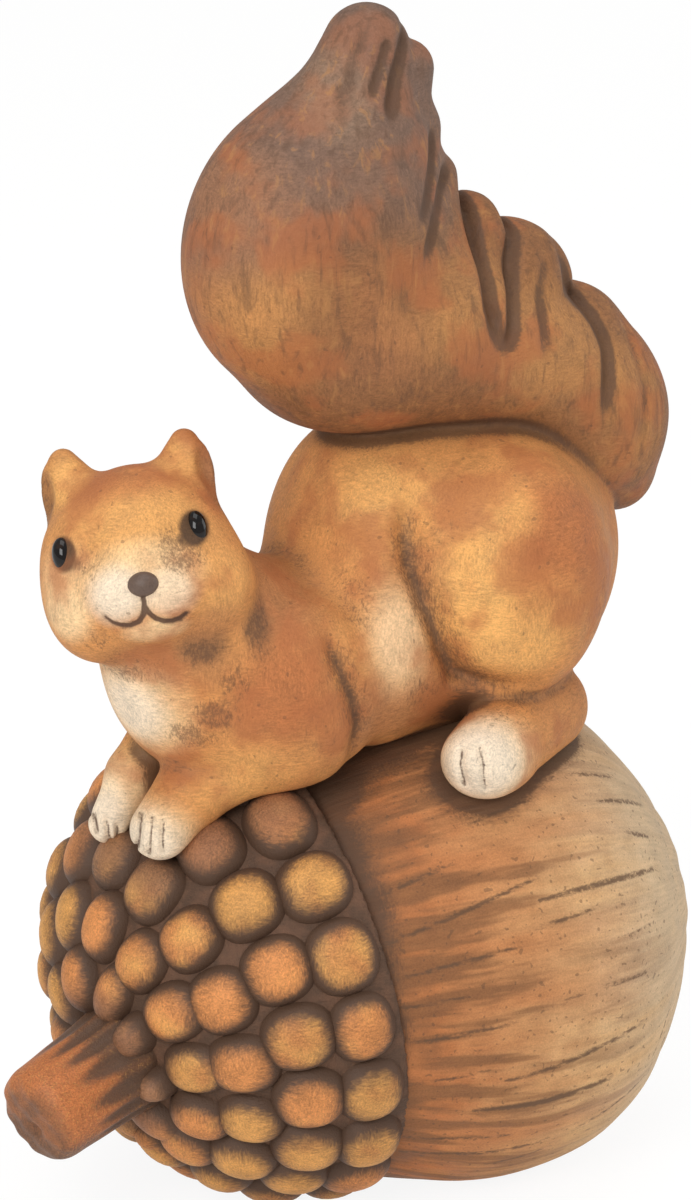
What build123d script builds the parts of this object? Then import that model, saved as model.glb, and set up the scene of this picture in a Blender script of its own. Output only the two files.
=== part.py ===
from build123d import *
import math
import os

# A glazed-clay squirrel crouching on a large acorn that lies on its side.
# The squirrel's head points to -X, the nut's end to +X, and the origin is in the resting flat.
# Every hollow casting is open to the next one through a pin-hole vent, as a kiln needs.

# Acorn nut
nut_radius = 62.4
nut_length = 103.0
nut_wall = 5.5
base_cut = 3.9
pour_hole_diameter = 24.0
pour_hole_x = 23.0
nut_profile_shares = (
    (0.0, 0.905),
    (0.17, 0.968),
    (0.37, 1.0),
    (0.58, 0.945),
    (0.77, 0.765),
    (0.92, 0.44),
    (1.0, 0.0),
)
nut_cavity_first_share = 0.17

# Acorn cap, its spigot joint and its stem
cap_radius_share = 0.9295
cap_wall = 5.5
cap_centre_x = -18.3
rim_tilt = 9.8
spigot_length = 12.0
spigot_wall = 4.5
spigot_clearance = 0.3
stem_length = 27.0
stem_root_radius = 14.3
stem_end_radius = 12.2
stem_edge_radius = 3.0
stem_droop = 15.5
stem_swing = 15.8
stem_sink = 6.0

# Scales of the cap: share of a right angle from the ring's axis, share of the way from the rim's axis
# to the stem's, number round the ring, share of a pitch that the first one is turned by, share filled
bead_height = 4.2
bead_keep_share = 0.97
scale_ring_shares = (
    (0.883, 0.05, 20, 0.25, 0.83),
    (0.694, 0.20, 19, 0.625, 0.83),
    (0.511, 0.35, 16, 0.125, 0.80),
    (0.350, 0.50, 13, 0.875, 0.76),
    (0.206, 0.65, 9, 0.5, 0.76),
)

# Squirrel's body: places are shares of the body's length, width and height, from the acorn's top
body_length = 146.0
body_width = 68.0
body_height = 82.0
body_wall = 5.0
body_station_shares = (
    (0.470, 0.03, 0.31, 0.10, 0.13),
    (0.440, 0.03, 0.32, 0.26, 0.28),
    (0.365, 0.03, 0.345, 0.41, 0.415),
    (0.240, 0.015, 0.38, 0.485, 0.50),
    (0.082, 0.0, 0.385, 0.50, 0.50),
    (-0.055, -0.015, 0.335, 0.485, 0.455),
    (-0.178, -0.06, 0.235, 0.44, 0.335),
    (-0.288, -0.10, 0.175, 0.40, 0.285),
    (-0.384, -0.15, 0.125, 0.31, 0.235),
    (-0.440, -0.18, 0.105, 0.20, 0.16),
    (-0.465, -0.18, 0.10, 0.09, 0.08),
)
neck_root_shares = (-0.274, -0.12, 0.21)
neck_root_radius = 24.5
neck_top_radius = 21.5

# Head, with its own frame: across, up and forward
head_length = 49.5
head_width = 49.0
head_height = 45.0
head_wall = 6.0
head_place_shares = (-0.421, -0.191, 0.574)
head_turn = -32.0
head_lift = 20.0
head_roll = 11.0
head_station_shares = (
    (-0.49, 0.02, 0.10, 0.10),
    (-0.43, 0.02, 0.27, 0.27),
    (-0.27, 0.04, 0.42, 0.42),
    (-0.06, 0.03, 0.495, 0.495),
    (0.12, -0.03, 0.485, 0.475),
    (0.26, -0.11, 0.37, 0.36),
    (0.38, -0.17, 0.25, 0.235),
    (0.47, -0.185, 0.15, 0.15),
    (0.51, -0.185, 0.06, 0.06),
)
ear_length = 16.0
ear_root_width = 17.0
ear_section_shares = ((0.0, 1.0), (0.35, 0.95), (0.7, 0.68), (0.92, 0.38), (1.0, 0.3))
ear_thickness_share = 0.7
ear_root_shares = (0.29, 0.29, -0.06)
ear_lean_shares = (0.05, 1.0, -0.06)
eye_diameter = 7.0
eye_clearance = 0.2
eye_proud_share = 0.4
eye_place_shares = (0.325, 0.125, 0.245)
nose_width = 7.6
nose_height = 5.8
nose_depth = 6.0
nose_place_shares = (0.0, -0.11, 0.47)

# Tail: a root that lies along the back and a plume that stands up from it
tail_width = 56.0
tail_height = 66.0
tail_wall = 5.0
tail_root_shares = (
    (0.497, 0.03, 0.465, -62.0, 0.16, 0.085),
    (0.488, 0.03, 0.555, -66.0, 0.30, 0.16),
    (0.458, 0.03, 0.690, -60.0, 0.37, 0.22),
    (0.385, 0.03, 0.845, -47.0, 0.41, 0.27),
    (0.280, 0.03, 0.965, -33.0, 0.46, 0.32),
    (0.155, 0.03, 1.050, -24.0, 0.48, 0.36),
    (0.030, 0.03, 1.115, -20.0, 0.48, 0.38),
    (-0.070, 0.03, 1.175, -20.0, 0.42, 0.32),
)
plume_shares = (
    (0.035, 0.03, 0.860, 0.20, 0.19),
    (0.015, 0.03, 0.935, 0.35, 0.33),
    (-0.008, 0.03, 1.020, 0.45, 0.43),
    (-0.032, 0.03, 1.140, 0.515, 0.49),
    (-0.054, 0.03, 1.270, 0.53, 0.51),
    (-0.064, 0.03, 1.400, 0.52, 0.51),
    (-0.056, 0.03, 1.530, 0.475, 0.48),
    (-0.034, 0.03, 1.660, 0.395, 0.42),
    (-0.010, 0.03, 1.770, 0.31, 0.34),
    (0.010, 0.03, 1.880, 0.23, 0.26),
    (0.017, 0.03, 1.970, 0.16, 0.18),
    (0.018, 0.03, 2.040, 0.09, 0.10),
    (0.018, 0.03, 2.070, 0.04, 0.05),
)

# Limbs
haunch_length = 46.0
haunch_depth = 38.0
haunch_height = 59.0
haunch_place_shares = (0.182, 0.38, 0.385)
haunch_dip = 8.0
hind_foot_length = 50.0
hind_foot_width = 23.0
hind_foot_height = 21.0
hind_foot_place_shares = (0.165, 0.51, -0.045)
hind_foot_swing = 24.0
hind_foot_dip = -9.0
shoulder_length = 45.0
shoulder_depth = 30.0
shoulder_height = 46.0
forearm_radius = 10.0
wrist_radius = 7.5
paw_length = 19.0
paw_width = 15.5
paw_height = 14.0
foreleg_shares = {
    "left": ((-0.215, -0.36, 0.13), (-0.20, -0.48, -0.06), (-0.405, -0.25, -0.20)),
    "right": ((-0.235, 0.17, 0.12), (-0.26, 0.26, -0.06), (-0.452, 0.0, -0.25)),
}
paw_swing = 22.0

# Construction
vent_diameter = 3.0
vent_place_share = 0.07
tail_vent_place_share = 0.20
overrun = 200.0
section_points = 12
egg_section_angles = (-80, -60, -35, -10, 10, 35, 60, 80)

cap_radius = nut_radius * cap_radius_share
axis_height = nut_radius - base_cut
acorn_top = axis_height + nut_radius
cap_centre = Vector(cap_centre_x, 0, axis_height)
full_turn = 2 * math.pi
side_of = {"left": -1, "right": 1}


def on_body(along, side, lift):
    """A place given as shares of the body's length, width and height, from the acorn's top."""
    return Vector(along * body_length, side * body_width, acorn_top + lift * body_height)


def direction(swing, droop):
    """A unit direction from -X, swung towards the viewer's side and drooping below level."""
    level = math.cos(math.radians(droop))
    swung = math.radians(swing)
    return Vector(-level * math.cos(swung), -level * math.sin(swung), -math.sin(math.radians(droop)))


def ellipse_wire(plane, half_x, half_y):
    """A closed smooth ring on a plane, with the same start on every section of a loft."""
    angles = [full_turn * step / section_points for step in range(section_points)]
    points = [plane.from_local_coords((half_x * math.cos(a), half_y * math.sin(a), 0)) for a in angles]
    return Wire([Edge.make_spline(points, periodic=True)])


def lofted(sections):
    """A closed smooth solid through rings, each a plane and two half sizes."""
    return Part() + Solid.make_loft([ellipse_wire(*section) for section in sections])


def egg(plane, length, width, height):
    """A closed egg form along a plane's Z, with its width along the plane's X and nearly pointed ends."""
    sections = []
    for angle in egg_section_angles:
        reach = math.sin(math.radians(angle)) * length / 2
        ring = math.cos(math.radians(angle)) / 2
        sections.append((plane.offset(reach), width * ring, height * ring))
    return lofted(sections)


def lying(centre, swing=0.0, dip=0.0):
    """A plane whose Z runs back along the body, swung about the upright and dipped at its back end."""
    swung = math.radians(swing)
    dipped = math.radians(dip)
    level = math.cos(dipped)
    backward = Vector(math.cos(swung) * level, math.sin(swung) * level, -math.sin(dipped))
    return Plane(origin=centre, x_dir=(-math.sin(swung), math.cos(swung), 0), z_dir=backward)


def rod(start, end, start_radius, end_radius):
    """A round tapered rod between two points."""
    plane = Plane(origin=start, z_dir=end - start)
    tilted = Location(plane.location.position, plane.location.orientation)
    length = (end - start).length
    align = (Align.CENTER, Align.CENTER, Align.MIN)
    if start_radius == end_radius:
        return tilted * Cylinder(start_radius, length, align=align)
    return tilted * Cone(start_radius, end_radius, length, align=align)


def biggest(part):
    """The largest solid that a cut left."""
    return Part() + max(part.solids(), key=lambda solid: solid.volume)


def below(height):
    """Everything under a level."""
    align = (Align.CENTER, Align.CENTER, Align.MAX)
    return Pos(0, 0, height) * Box(overrun * 2, overrun * 2, overrun, align=align)


# Acorn forms
rim_axis = direction(0, rim_tilt)
stem_axis = direction(stem_swing, stem_droop)
rim_plane = Plane(origin=cap_centre, z_dir=rim_axis)


def beyond_rim(side):
    """The half of space on the cap's side (1) or the nut's side (-1) of the rim plane."""
    align = (Align.CENTER, Align.CENTER, Align.MIN if side > 0 else Align.MAX)
    return rim_plane.location * Box(overrun * 2, overrun * 2, overrun, align=align)


def nut_form(extra=0.0, first_share=0.0):
    """The nut turned about its own axis, grown or shrunk by a wall."""
    shares = [pair for pair in nut_profile_shares if pair[0] >= first_share]
    length = nut_length + extra
    radius = nut_radius + extra
    points = [(cap_centre_x + length * along, radius * out) for along, out in shares]
    end = points[-1]
    rise = (points[1][1] - points[0][1]) / nut_radius
    start = (points[0][0] - nut_wall, points[0][1] - nut_wall * rise)
    curve = Spline(start, *points, tangents=[(1, 0), (0, -1)], tangent_scalars=[0.5, 1.0])
    outline = curve + Polyline(end, (start[0], 0), start)
    profile = Plane.XZ * make_face(outline)
    return Pos(0, 0, axis_height) * revolve(profile, Axis.X)


def dome(extra=0.0):
    """The cap's ball, grown or shrunk by a wall."""
    return Pos(*cap_centre) * Sphere(cap_radius + extra)


def acorn_form(extra=0.0):
    """The solid outside of nut and cap together, for cutting what sits on it."""
    return nut_form(extra) + dome(extra)


def make_nut_shell():
    """The hollow nut with its spigot, resting flat and pour hole."""
    spigot_radius = cap_radius - cap_wall - spigot_clearance
    spigot_bore = spigot_radius - spigot_wall
    spigot_end = cap_centre + rim_axis * spigot_length
    bore_start = cap_centre + rim_axis * (spigot_length + nut_wall)
    bore_end = cap_centre - rim_axis * (nut_length * nut_cavity_first_share + nut_wall)
    body = nut_form() & beyond_rim(-1)
    spigot_root = cap_centre - rim_axis * nut_wall
    spigot = dome(-cap_wall - spigot_clearance) & rod(spigot_end, spigot_root, cap_radius, cap_radius)
    bore = rod(bore_start, bore_end, spigot_bore, spigot_bore)
    cavity = (nut_form(-nut_wall, nut_cavity_first_share) + bore) - below(nut_wall)
    pour_hole = Pos(pour_hole_x, 0, 0) * Cylinder(pour_hole_diameter / 2, nut_wall * 4)
    return biggest(body + spigot - cavity - below(0) - pour_hole)


def make_cap_shell():
    """The hollow dome of the cap, which slips over the nut's spigot."""
    shell = (dome() & beyond_rim(1)) - dome(-cap_wall)
    return biggest(shell - below(0))


def make_stem():
    """The stub of the stalk, luted to the dome and rounded at its end."""
    root = cap_centre + stem_axis * (cap_radius - stem_sink)
    end = cap_centre + stem_axis * (cap_radius + stem_length)
    stub = rod(root, end, stem_root_radius, stem_end_radius)
    rim = stub.faces().sort_by(Axis(cap_centre, stem_axis))[-1].edges()
    return biggest(fillet(rim, stem_edge_radius) - dome())


def make_scale_ring(angle_share, axis_share, count, phase_share, fill_share, cutters):
    """One ring of rounded scales round the cap, trimmed where something sits on it."""
    polar = angle_share * math.pi / 2
    axis = (rim_axis * (1 - axis_share) + stem_axis * axis_share).normalized()
    across = axis.cross(Vector(0, 0, 1)).normalized()
    upward = across.cross(axis)
    foot = math.pi * cap_radius * math.sin(polar) / count * fill_share
    ball_radius = (foot ** 2 + bead_height ** 2) / (2 * bead_height)
    reach = cap_radius + bead_height - ball_radius
    balls = []
    for index in range(count):
        turn = full_turn * (index + phase_share) / count
        outward = upward * math.cos(turn) + across * math.sin(turn)
        ray = axis * math.cos(polar) + outward * math.sin(polar)
        balls.append(Plane(origin=cap_centre + ray * reach, z_dir=ray).location * Sphere(ball_radius))
    full_volume = math.pi * bead_height * (3 * foot ** 2 + bead_height ** 2) / 6
    trimmed = (Part() + balls) - cutters
    clear = [solid for solid in trimmed.solids() if solid.volume > bead_keep_share * full_volume]
    return (Part() + clear) - below(0)


# Squirrel forms
def body_form(extra=0.0):
    """The barrel of the body from rump to chest, grown or shrunk by a wall."""
    sections = []
    for along, side, lift, half_width, half_height in body_station_shares:
        stretch = (body_length + 2 * extra) / body_length
        plane = Plane(origin=on_body(along * stretch, side, lift), x_dir=(0, 1, 0), z_dir=(1, 0, 0))
        half_sizes = (half_width * body_width, half_height * body_height)
        sections.append((plane, *[grown(size, extra) for size in half_sizes]))
    return lofted(sections)


def grown(half_size, extra):
    """A half size grown or shrunk by a wall, and by less where it is small."""
    return half_size + extra * min(1, half_size / (2 * abs(extra))) if extra else half_size


def neck_form(extra=0.0):
    """The neck, from inside the chest to the middle of the head."""
    root = on_body(*neck_root_shares)
    return rod(root, on_body(*head_place_shares), neck_root_radius + extra, neck_top_radius + extra)


def head_plane():
    """The head's own frame: X across to the viewer's right, Y up and Z out of the face."""
    swung = math.radians(head_turn)
    lifted = math.radians(head_lift)
    reach = math.cos(lifted)
    forward = Vector(math.sin(swung) * reach, -math.cos(swung) * reach, math.sin(lifted))
    level = Vector(math.cos(swung), math.sin(swung), 0)
    upward = forward.cross(level)
    rolled = math.radians(head_roll)
    across = level * math.cos(rolled) + upward * math.sin(rolled)
    return Plane(origin=on_body(*head_place_shares), x_dir=across, z_dir=forward)


def on_head(across, up, forward):
    """A place given as shares of the head's width, height and length from its middle."""
    return head_plane().from_local_coords((across * head_width, up * head_height, forward * head_length))


def head_form(extra=0.0):
    """Skull, cheeks and muzzle in one smooth form, grown or shrunk by a wall."""
    frame = head_plane()
    stretch = (head_length + 2 * extra) / head_length
    sections = []
    for forward, up, half_width, half_height in head_station_shares:
        plane = Plane(origin=on_head(0, up, forward * stretch), x_dir=frame.x_dir, z_dir=frame.z_dir)
        half_sizes = (half_width * head_width, half_height * head_height)
        sections.append((plane, *[grown(size, extra) for size in half_sizes]))
    return lofted(sections)


def tail_form(extra=0.0):
    """Tail root and plume in one form, grown or shrunk by a wall."""
    root = []
    for along, side, lift, pitch, half_width, half_height in tail_root_shares:
        tilt = math.radians(pitch)
        uphill = (math.cos(tilt), 0, math.sin(tilt))
        plane = Plane(origin=on_body(along, side, lift), x_dir=(0, 1, 0), z_dir=uphill)
        root.append((plane, grown(half_width * tail_width, extra), grown(half_height * tail_height, extra)))
    plume = []
    for along, side, lift, half_length, half_width in plume_shares:
        plane = Plane(origin=on_body(along, side, lift), x_dir=(1, 0, 0), z_dir=(0, 0, 1))
        plume.append((plane, grown(half_length * tail_height, extra), grown(half_width * tail_width, extra)))
    return lofted(root) + lofted(plume)


def haunch_form(side):
    """The thigh of a hind leg, an egg form against the rump."""
    along, out, lift = haunch_place_shares
    centre = on_body(along, side_of[side] * out, lift)
    return egg(lying(centre, 0, haunch_dip), haunch_length, haunch_depth, haunch_height)


def hind_foot_form(side):
    """A long hind foot, flat on the acorn with its toes turned out."""
    along, out, lift = hind_foot_place_shares
    centre = on_body(along, side_of[side] * out, lift)
    place = lying(centre, -side_of[side] * hind_foot_swing, hind_foot_dip)
    return egg(place, hind_foot_length, hind_foot_width, hind_foot_height)


def foreleg_form(side):
    """Shoulder, forearm and paw of a foreleg in one form."""
    top, elbow, paw = [on_body(*shares) for shares in foreleg_shares[side]]
    shoulder = egg(lying(top), shoulder_length, shoulder_depth, shoulder_height)
    forearm = rod(elbow, paw, forearm_radius, wrist_radius)
    elbow_ball = Pos(*elbow) * Sphere(forearm_radius)
    return shoulder + forearm + elbow_ball + egg(lying(paw, -paw_swing), paw_length, paw_width, paw_height)


# Small pieces of the head
def make_ear(side):
    """One ear, a flattened cone with a blunt tip, luted to the skull."""
    frame = head_plane()
    across, up, forward = ear_root_shares
    mirrored = -side_of[side]
    lean = Vector(mirrored * ear_lean_shares[0], ear_lean_shares[1], ear_lean_shares[2]).normalized()
    upward = (frame.x_dir * lean.X + frame.y_dir * lean.Y + frame.z_dir * lean.Z).normalized()
    root = on_head(mirrored * across, up, forward)
    sections = []
    for reach, width in ear_section_shares:
        plane = Plane(origin=root + upward * (reach * ear_length), x_dir=frame.x_dir, z_dir=upward)
        half = width * ear_root_width / 2
        sections.append((plane, half, half * ear_thickness_share))
    return lofted(sections)


def eye_centre(side):
    """The middle of an eye, set so that a share of the bead stands proud of the face."""
    across, up, forward = eye_place_shares
    return on_head(-side_of[side] * across, up, forward)


def make_head(cutters):
    """The hollow head with its eye sockets and its vent."""
    shell = head_form() - head_form(-head_wall)
    for side in side_of:
        shell -= Pos(*eye_centre(side)) * Sphere(eye_diameter / 2 + eye_clearance)
    return biggest(shell - cutters)


def make_nose():
    """The button of the nose, luted to the muzzle."""
    frame = head_plane()
    place = Plane(origin=on_head(*nose_place_shares), x_dir=frame.x_dir, z_dir=frame.z_dir)
    return biggest(egg(place, nose_depth, nose_width, nose_height) - head_form())


def pin_hole(along, lift):
    """A vent for the kiln, drilled straight up through the walls of two neighbours."""
    return Pos(*on_body(along, 0, lift)) * Cylinder(vent_diameter / 2, body_wall * 8)


vents = pin_hole(vent_place_share, 0) + pin_hole(tail_vent_place_share, 1)
head_vent = rod(on_body(*neck_root_shares), on_body(*head_place_shares), vent_diameter / 2, vent_diameter / 2)
parts = {
    "nut_shell": make_nut_shell() - vents,
    "cap_shell": make_cap_shell(),
    "stem": make_stem(),
    "head": make_head(head_vent),
    "nose": make_nose(),
}
for side in side_of:
    foreleg = foreleg_form(side) - neck_form() - head_form()
    hind_foot = hind_foot_form(side) - haunch_form(side)
    parts[f"haunch_{side}"] = biggest(haunch_form(side) - body_form() - acorn_form())
    parts[f"hind_foot_{side}"] = biggest(hind_foot - body_form() - acorn_form())
    parts[f"foreleg_{side}"] = biggest(foreleg - body_form() - acorn_form())
    parts[f"ear_{side}"] = biggest(make_ear(side) - head_form())
    parts[f"eye_{side}"] = Pos(*eye_centre(side)) * Sphere(eye_diameter / 2)
for number, ring in enumerate(scale_ring_shares, 1):
    seats = [body_form(), *[foreleg_form(side) for side in side_of], parts["stem"], dome()]
    parts[f"scale_ring_{number}"] = make_scale_ring(*ring, seats)
body_cavity = body_form(-body_wall) + neck_form(-body_wall) - acorn_form(body_wall)
parts["torso"] = biggest(body_form() + neck_form() - body_cavity - head_form() - acorn_form() - vents)
tail_cavity = tail_form(-tail_wall) - body_form(tail_wall)
parts["tail"] = biggest(tail_form() - tail_cavity - body_form() - vents)

os.makedirs("parts", exist_ok=True)
for name, part in parts.items():
    export_step(part, f"parts/{name}.step")
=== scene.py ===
"""A clay squirrel that lies on a big acorn: its pieces, its paint and its plain stage."""
import math

import bpy
import numpy as np
from bpy.props import FloatProperty, FloatVectorProperty, IntProperty, PointerProperty
from bpy.types import Operator, Panel, PropertyGroup
from mathutils import Matrix, Vector


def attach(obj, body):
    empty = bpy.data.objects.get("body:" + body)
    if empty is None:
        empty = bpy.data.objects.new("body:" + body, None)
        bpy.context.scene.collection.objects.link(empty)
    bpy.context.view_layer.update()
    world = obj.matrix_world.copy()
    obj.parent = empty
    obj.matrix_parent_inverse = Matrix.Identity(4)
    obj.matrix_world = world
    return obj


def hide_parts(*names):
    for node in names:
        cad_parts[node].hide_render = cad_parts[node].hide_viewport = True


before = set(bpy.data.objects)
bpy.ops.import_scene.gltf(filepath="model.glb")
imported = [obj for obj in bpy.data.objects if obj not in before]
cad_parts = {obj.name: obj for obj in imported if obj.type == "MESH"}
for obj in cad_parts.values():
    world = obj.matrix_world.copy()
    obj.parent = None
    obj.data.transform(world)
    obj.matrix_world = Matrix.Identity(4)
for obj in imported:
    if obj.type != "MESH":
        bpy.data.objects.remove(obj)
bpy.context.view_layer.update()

bl_info = {
    "name": "Clay squirrel on an acorn",
    "version": (1, 0, 0),
    "blender": (4, 5, 0),
    "location": "3D View > Sidebar > Squirrel",
    "description": "Models and paints a hollow clay squirrel that lies on a big acorn",
    "category": "Object",
}

MM = 0.001
# The viewer's place: azimuth and elevation, then the point looked at and the distance in millimetres
VIEW_ANGLES = (math.radians(-27), math.radians(20))
VIEW_TARGET = (-4.1, 0.0, 145.4)
VIEW_DISTANCE = 1400.0


# Sizes and colours
def srgb(red, green, blue):
    """A colour as a painter's chart gives it, 0 to 255, turned into light values."""
    shares = (red / 255, green / 255, blue / 255)
    return tuple(s / 12.92 if s <= 0.04045 else ((s + 0.055) / 1.055) ** 2.4 for s in shares)


def tint(name, description, *chart):
    """A colour that can be set."""
    return FloatVectorProperty(
        name=name, description=description, default=srgb(*chart), size=3, min=0, max=1, subtype="COLOR")


def length(name, description, millimetres, least=0.0, most=500.0):
    """A length that can be set, given in millimetres."""
    return FloatProperty(
        name=name, description=description, default=millimetres * MM, min=least * MM, max=most * MM,
        precision=4, subtype="DISTANCE", unit="LENGTH")


class SquirrelSizes(PropertyGroup):
    """Sizes of the modelling on the squirrel."""
    head_step: length("Head step", "Spacing of the mesh on the head", 0.55, 0.3, 3)
    limb_step: length("Limb step", "Spacing of the mesh on the feet and forelegs", 0.75, 0.3, 3)
    body_step: length("Body step", "Spacing of the mesh on the body and tail", 1.0, 0.4, 4)
    lock_depth: FloatProperty(
        name="Lock depth", description="How deep the lines between the tail's locks are pressed",
        default=1.0, min=0, max=2, subtype="FACTOR")
    mouth_depth: length("Mouth depth", "Depth of the line of the mouth", 0.7, 0, 2)
    eye_width: length("Eye width", "Width of an eye's glass bead", 5.2, 3, 8)
    eye_height: length("Eye height", "Height of an eye's glass bead", 8.2, 4, 10)
    nose_width: length("Nose width", "Width of the button of the nose", 7.2, 4, 12)
    nose_height: length("Nose height", "Height of the button of the nose", 5.8, 3, 10)


class AcornSizes(PropertyGroup):
    """Sizes of the acorn's pieces."""
    nut_step: length("Nut step", "Spacing of the mesh on the nut and the cap", 1.12, 0.5, 4)
    wall: length("Wall", "Thickness of the clay of the hollow acorn", 5.5, 3, 10)
    pour_hole: length("Pour hole", "Diameter of the hole under the nut", 24, 5, 40)
    dome_radius: length("Dome radius", "Radius of the cap under its scales", 58, 40, 70)
    scale_height: length("Scale height", "How far a scale stands out of the cap", 5.0, 1, 8)
    scale_seed: IntProperty(
        name="Scale seed", description="Seed of the small differences between scales", default=7)
    stem_length: length("Stem length", "How far the stem stands out of the cap", 29.5, 10, 40)
    stem_radius: length("Stem radius", "Radius of the stem at its middle", 12.6, 6, 20)


class SquirrelColours(PropertyGroup):
    """Paints on the squirrel."""
    gold: tint("Gold", "Lit golden fur", 226, 168, 98)
    amber: tint("Amber", "Main coat", 202, 139, 80)
    rust: tint("Rust", "Reddest patches", 172, 100, 58)
    chestnut: tint("Chestnut", "Brown fur of the rump and shoulder", 170, 113, 72)
    cream: tint("Cream", "Cheeks and the edge of the pale patches", 238, 204, 156)
    white: tint("White", "Muzzle, chest, belly and paws", 232, 214, 190)
    # Umber is also laid as painted shade wherever the clay closes in
    umber: tint("Umber", "Dark wash in creases and brushed flecks", 92, 66, 48)
    tail_smoke: tint("Tail smoke", "Grey-brown tip of the tail", 122, 94, 78)
    tail_bark: tint("Tail bark", "Main brown of the tail", 140, 94, 58)
    tail_rust: tint("Tail rust", "Red-brown band of the tail", 172, 112, 70)
    tail_honey: tint("Tail honey", "Golden lower side of the tail", 190, 134, 78)
    ink: tint("Ink", "Lines of the mouth and toes", 84, 58, 44)
    nose: tint("Nose", "Button of the nose", 96, 76, 64)
    eye: tint("Eye", "Glass beads of the eyes", 14, 10, 9)


class AcornColours(PropertyGroup):
    """Paints on the acorn."""
    shade: tint("Shade", "Nut beside the cap", 126, 84, 52)
    russet: tint("Russet", "Red-brown of the nut", 182, 114, 66)
    honey: tint("Honey", "Golden streaks of the nut", 196, 144, 95)
    straw: tint("Straw", "Middle of the nut", 206, 164, 116)
    khaki: tint("Khaki", "Pale end of the nut", 204, 176, 140)
    scratch: tint("Scratch", "Lines scratched along the nut", 96, 70, 50)
    # The groove colour is also laid as painted shade where the nut and the stem are closed in
    groove: tint("Groove", "Dark wash between the scales", 88, 64, 48)
    scale_gold: tint("Scale gold", "Yellowest scales", 200, 144, 78)
    scale_orange: tint("Scale orange", "Reddest scales", 202, 132, 74)
    # Laid as painted shade on the scales near the paws and the stem, and as the plum of the scales' lower parts
    # and the cap's veils
    scale_plum: tint("Scale plum", "Darkest scales near the paws and stem", 132, 92, 68)
    stem_flame: tint("Stem flame", "Orange-red end of the stem", 182, 108, 58)
    stem_bark: tint("Stem bark", "Brown sides of the stem", 112, 74, 48)


class StageSettings(PropertyGroup):
    """Camera, floor and lamps."""
    azimuth: FloatProperty(
        name="Azimuth", description="Where the camera stands round the figurine",
        default=VIEW_ANGLES[0], subtype="ANGLE", unit="ROTATION")
    elevation: FloatProperty(
        name="Elevation", description="Height of the camera above level",
        default=VIEW_ANGLES[1], subtype="ANGLE", unit="ROTATION")
    distance: length("Distance", "From the camera to its target", VIEW_DISTANCE, 300, 5000)
    target: FloatVectorProperty(
        name="Target", description="Point that the camera looks at",
        default=tuple(value * MM for value in VIEW_TARGET), size=3, subtype="TRANSLATION", unit="LENGTH")
    picture_height: length("Picture height", "Height that the picture covers at the target", 288, 100, 2000)
    floor: tint("Floor", "Pale floor", 250, 249, 247)
    sky_strength: FloatProperty(
        name="Sky strength", description="Soft light from all round", default=0.5, min=0)
    lamp_strength: FloatProperty(
        name="Lamp strength", description="Strength of the large soft lamps", default=1.0, min=0)


def settings():
    """The figurine's settings in the open scene."""
    return bpy.context.scene.squirrel_figurine


class FigurineSettings(PropertyGroup):
    """All sizes and colours of the figurine."""
    squirrel: PointerProperty(type=SquirrelSizes, name="Squirrel", description="Sizes of the squirrel")
    acorn: PointerProperty(type=AcornSizes, name="Acorn", description="Sizes of the acorn")
    coat: PointerProperty(type=SquirrelColours, name="Coat", description="Paints on the squirrel")
    husk: PointerProperty(type=AcornColours, name="Husk", description="Paints on the acorn")
    stage: PointerProperty(type=StageSettings, name="Stage", description="Camera, floor and lamps")


# Forms, as distances in millimetres
def turned(yaw=0.0, pitch=0.0, roll=0.0):
    """The axes of a lump as columns: yawed about Z, pitched nose up and rolled about X."""
    y, p, r = math.radians(yaw), math.radians(pitch), math.radians(roll)
    about_z = np.array(((math.cos(y), -math.sin(y), 0), (math.sin(y), math.cos(y), 0), (0, 0, 1)))
    about_y = np.array(((math.cos(p), 0, -math.sin(p)), (0, 1, 0), (math.sin(p), 0, math.cos(p))))
    about_x = np.array(((1, 0, 0), (0, math.cos(r), -math.sin(r)), (0, math.sin(r), math.cos(r))))
    return (about_z @ about_y @ about_x).astype(np.float32)


def lump(points, centre, radii, axes=None):
    """Distance to an egg of clay, negative inside."""
    local = points - np.array(centre, np.float32)
    if axes is not None:
        local = local @ axes
    radii = np.array(radii, np.float32)
    share = local / radii
    reach = np.sqrt((share * share).sum(-1))
    slope = np.sqrt(((share / radii) ** 2).sum(-1))
    return reach * (reach - 1) / np.maximum(slope, 1e-6)


def clay_roll(points, start, end, start_radius, end_radius):
    """Distance to a tapered roll of clay with round ends."""
    start = np.array(start, np.float32)
    along = np.array(end, np.float32) - start
    length2 = float(along @ along)
    taper = start_radius - end_radius
    rest2 = length2 - taper * taper
    offset = points - start
    y = offset @ along
    z = y - length2
    across2 = ((offset * length2 - y[..., None] * along) ** 2).sum(-1)
    y2 = y * y * length2
    z2 = z * z * length2
    limit = np.sign(taper) * taper * taper * across2
    side = (np.sqrt(np.maximum(across2 * rest2 / length2, 0)) + y * taper) / length2 - start_radius
    side = np.where(np.sign(y) * rest2 * y2 < limit, np.sqrt(across2 + y2) / length2 - start_radius, side)
    return np.where(np.sign(z) * rest2 * z2 > limit, np.sqrt(across2 + z2) / length2 - end_radius, side)


def joined(a, b, softness):
    """Two forms smoothed together."""
    near = np.maximum(softness - np.abs(a - b), 0) / softness
    return np.minimum(a, b) - near * near * softness * 0.25


def carved(form, tool, softness):
    """A form with a tool's shape cut out of it, its edge softened."""
    return -joined(-form, tool, softness)


def path_distance(place, path):
    """Distance to a drawn line in a plane or in space, with the share of the way along it."""
    best = np.full(place.shape[:-1], 1e9, np.float32)
    share = np.zeros_like(best)
    path = np.array(path, np.float32)
    runs = len(path) - 1
    for index in range(runs):
        along = path[index + 1] - path[index]
        offset = place - path[index]
        t = np.clip(offset @ along / (along @ along), 0, 1)
        reach = np.sqrt(((offset - t[..., None] * along) ** 2).sum(-1))
        share = np.where(reach < best, (index + t) / runs, share)
        best = np.minimum(best, reach)
    return best, share


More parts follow.
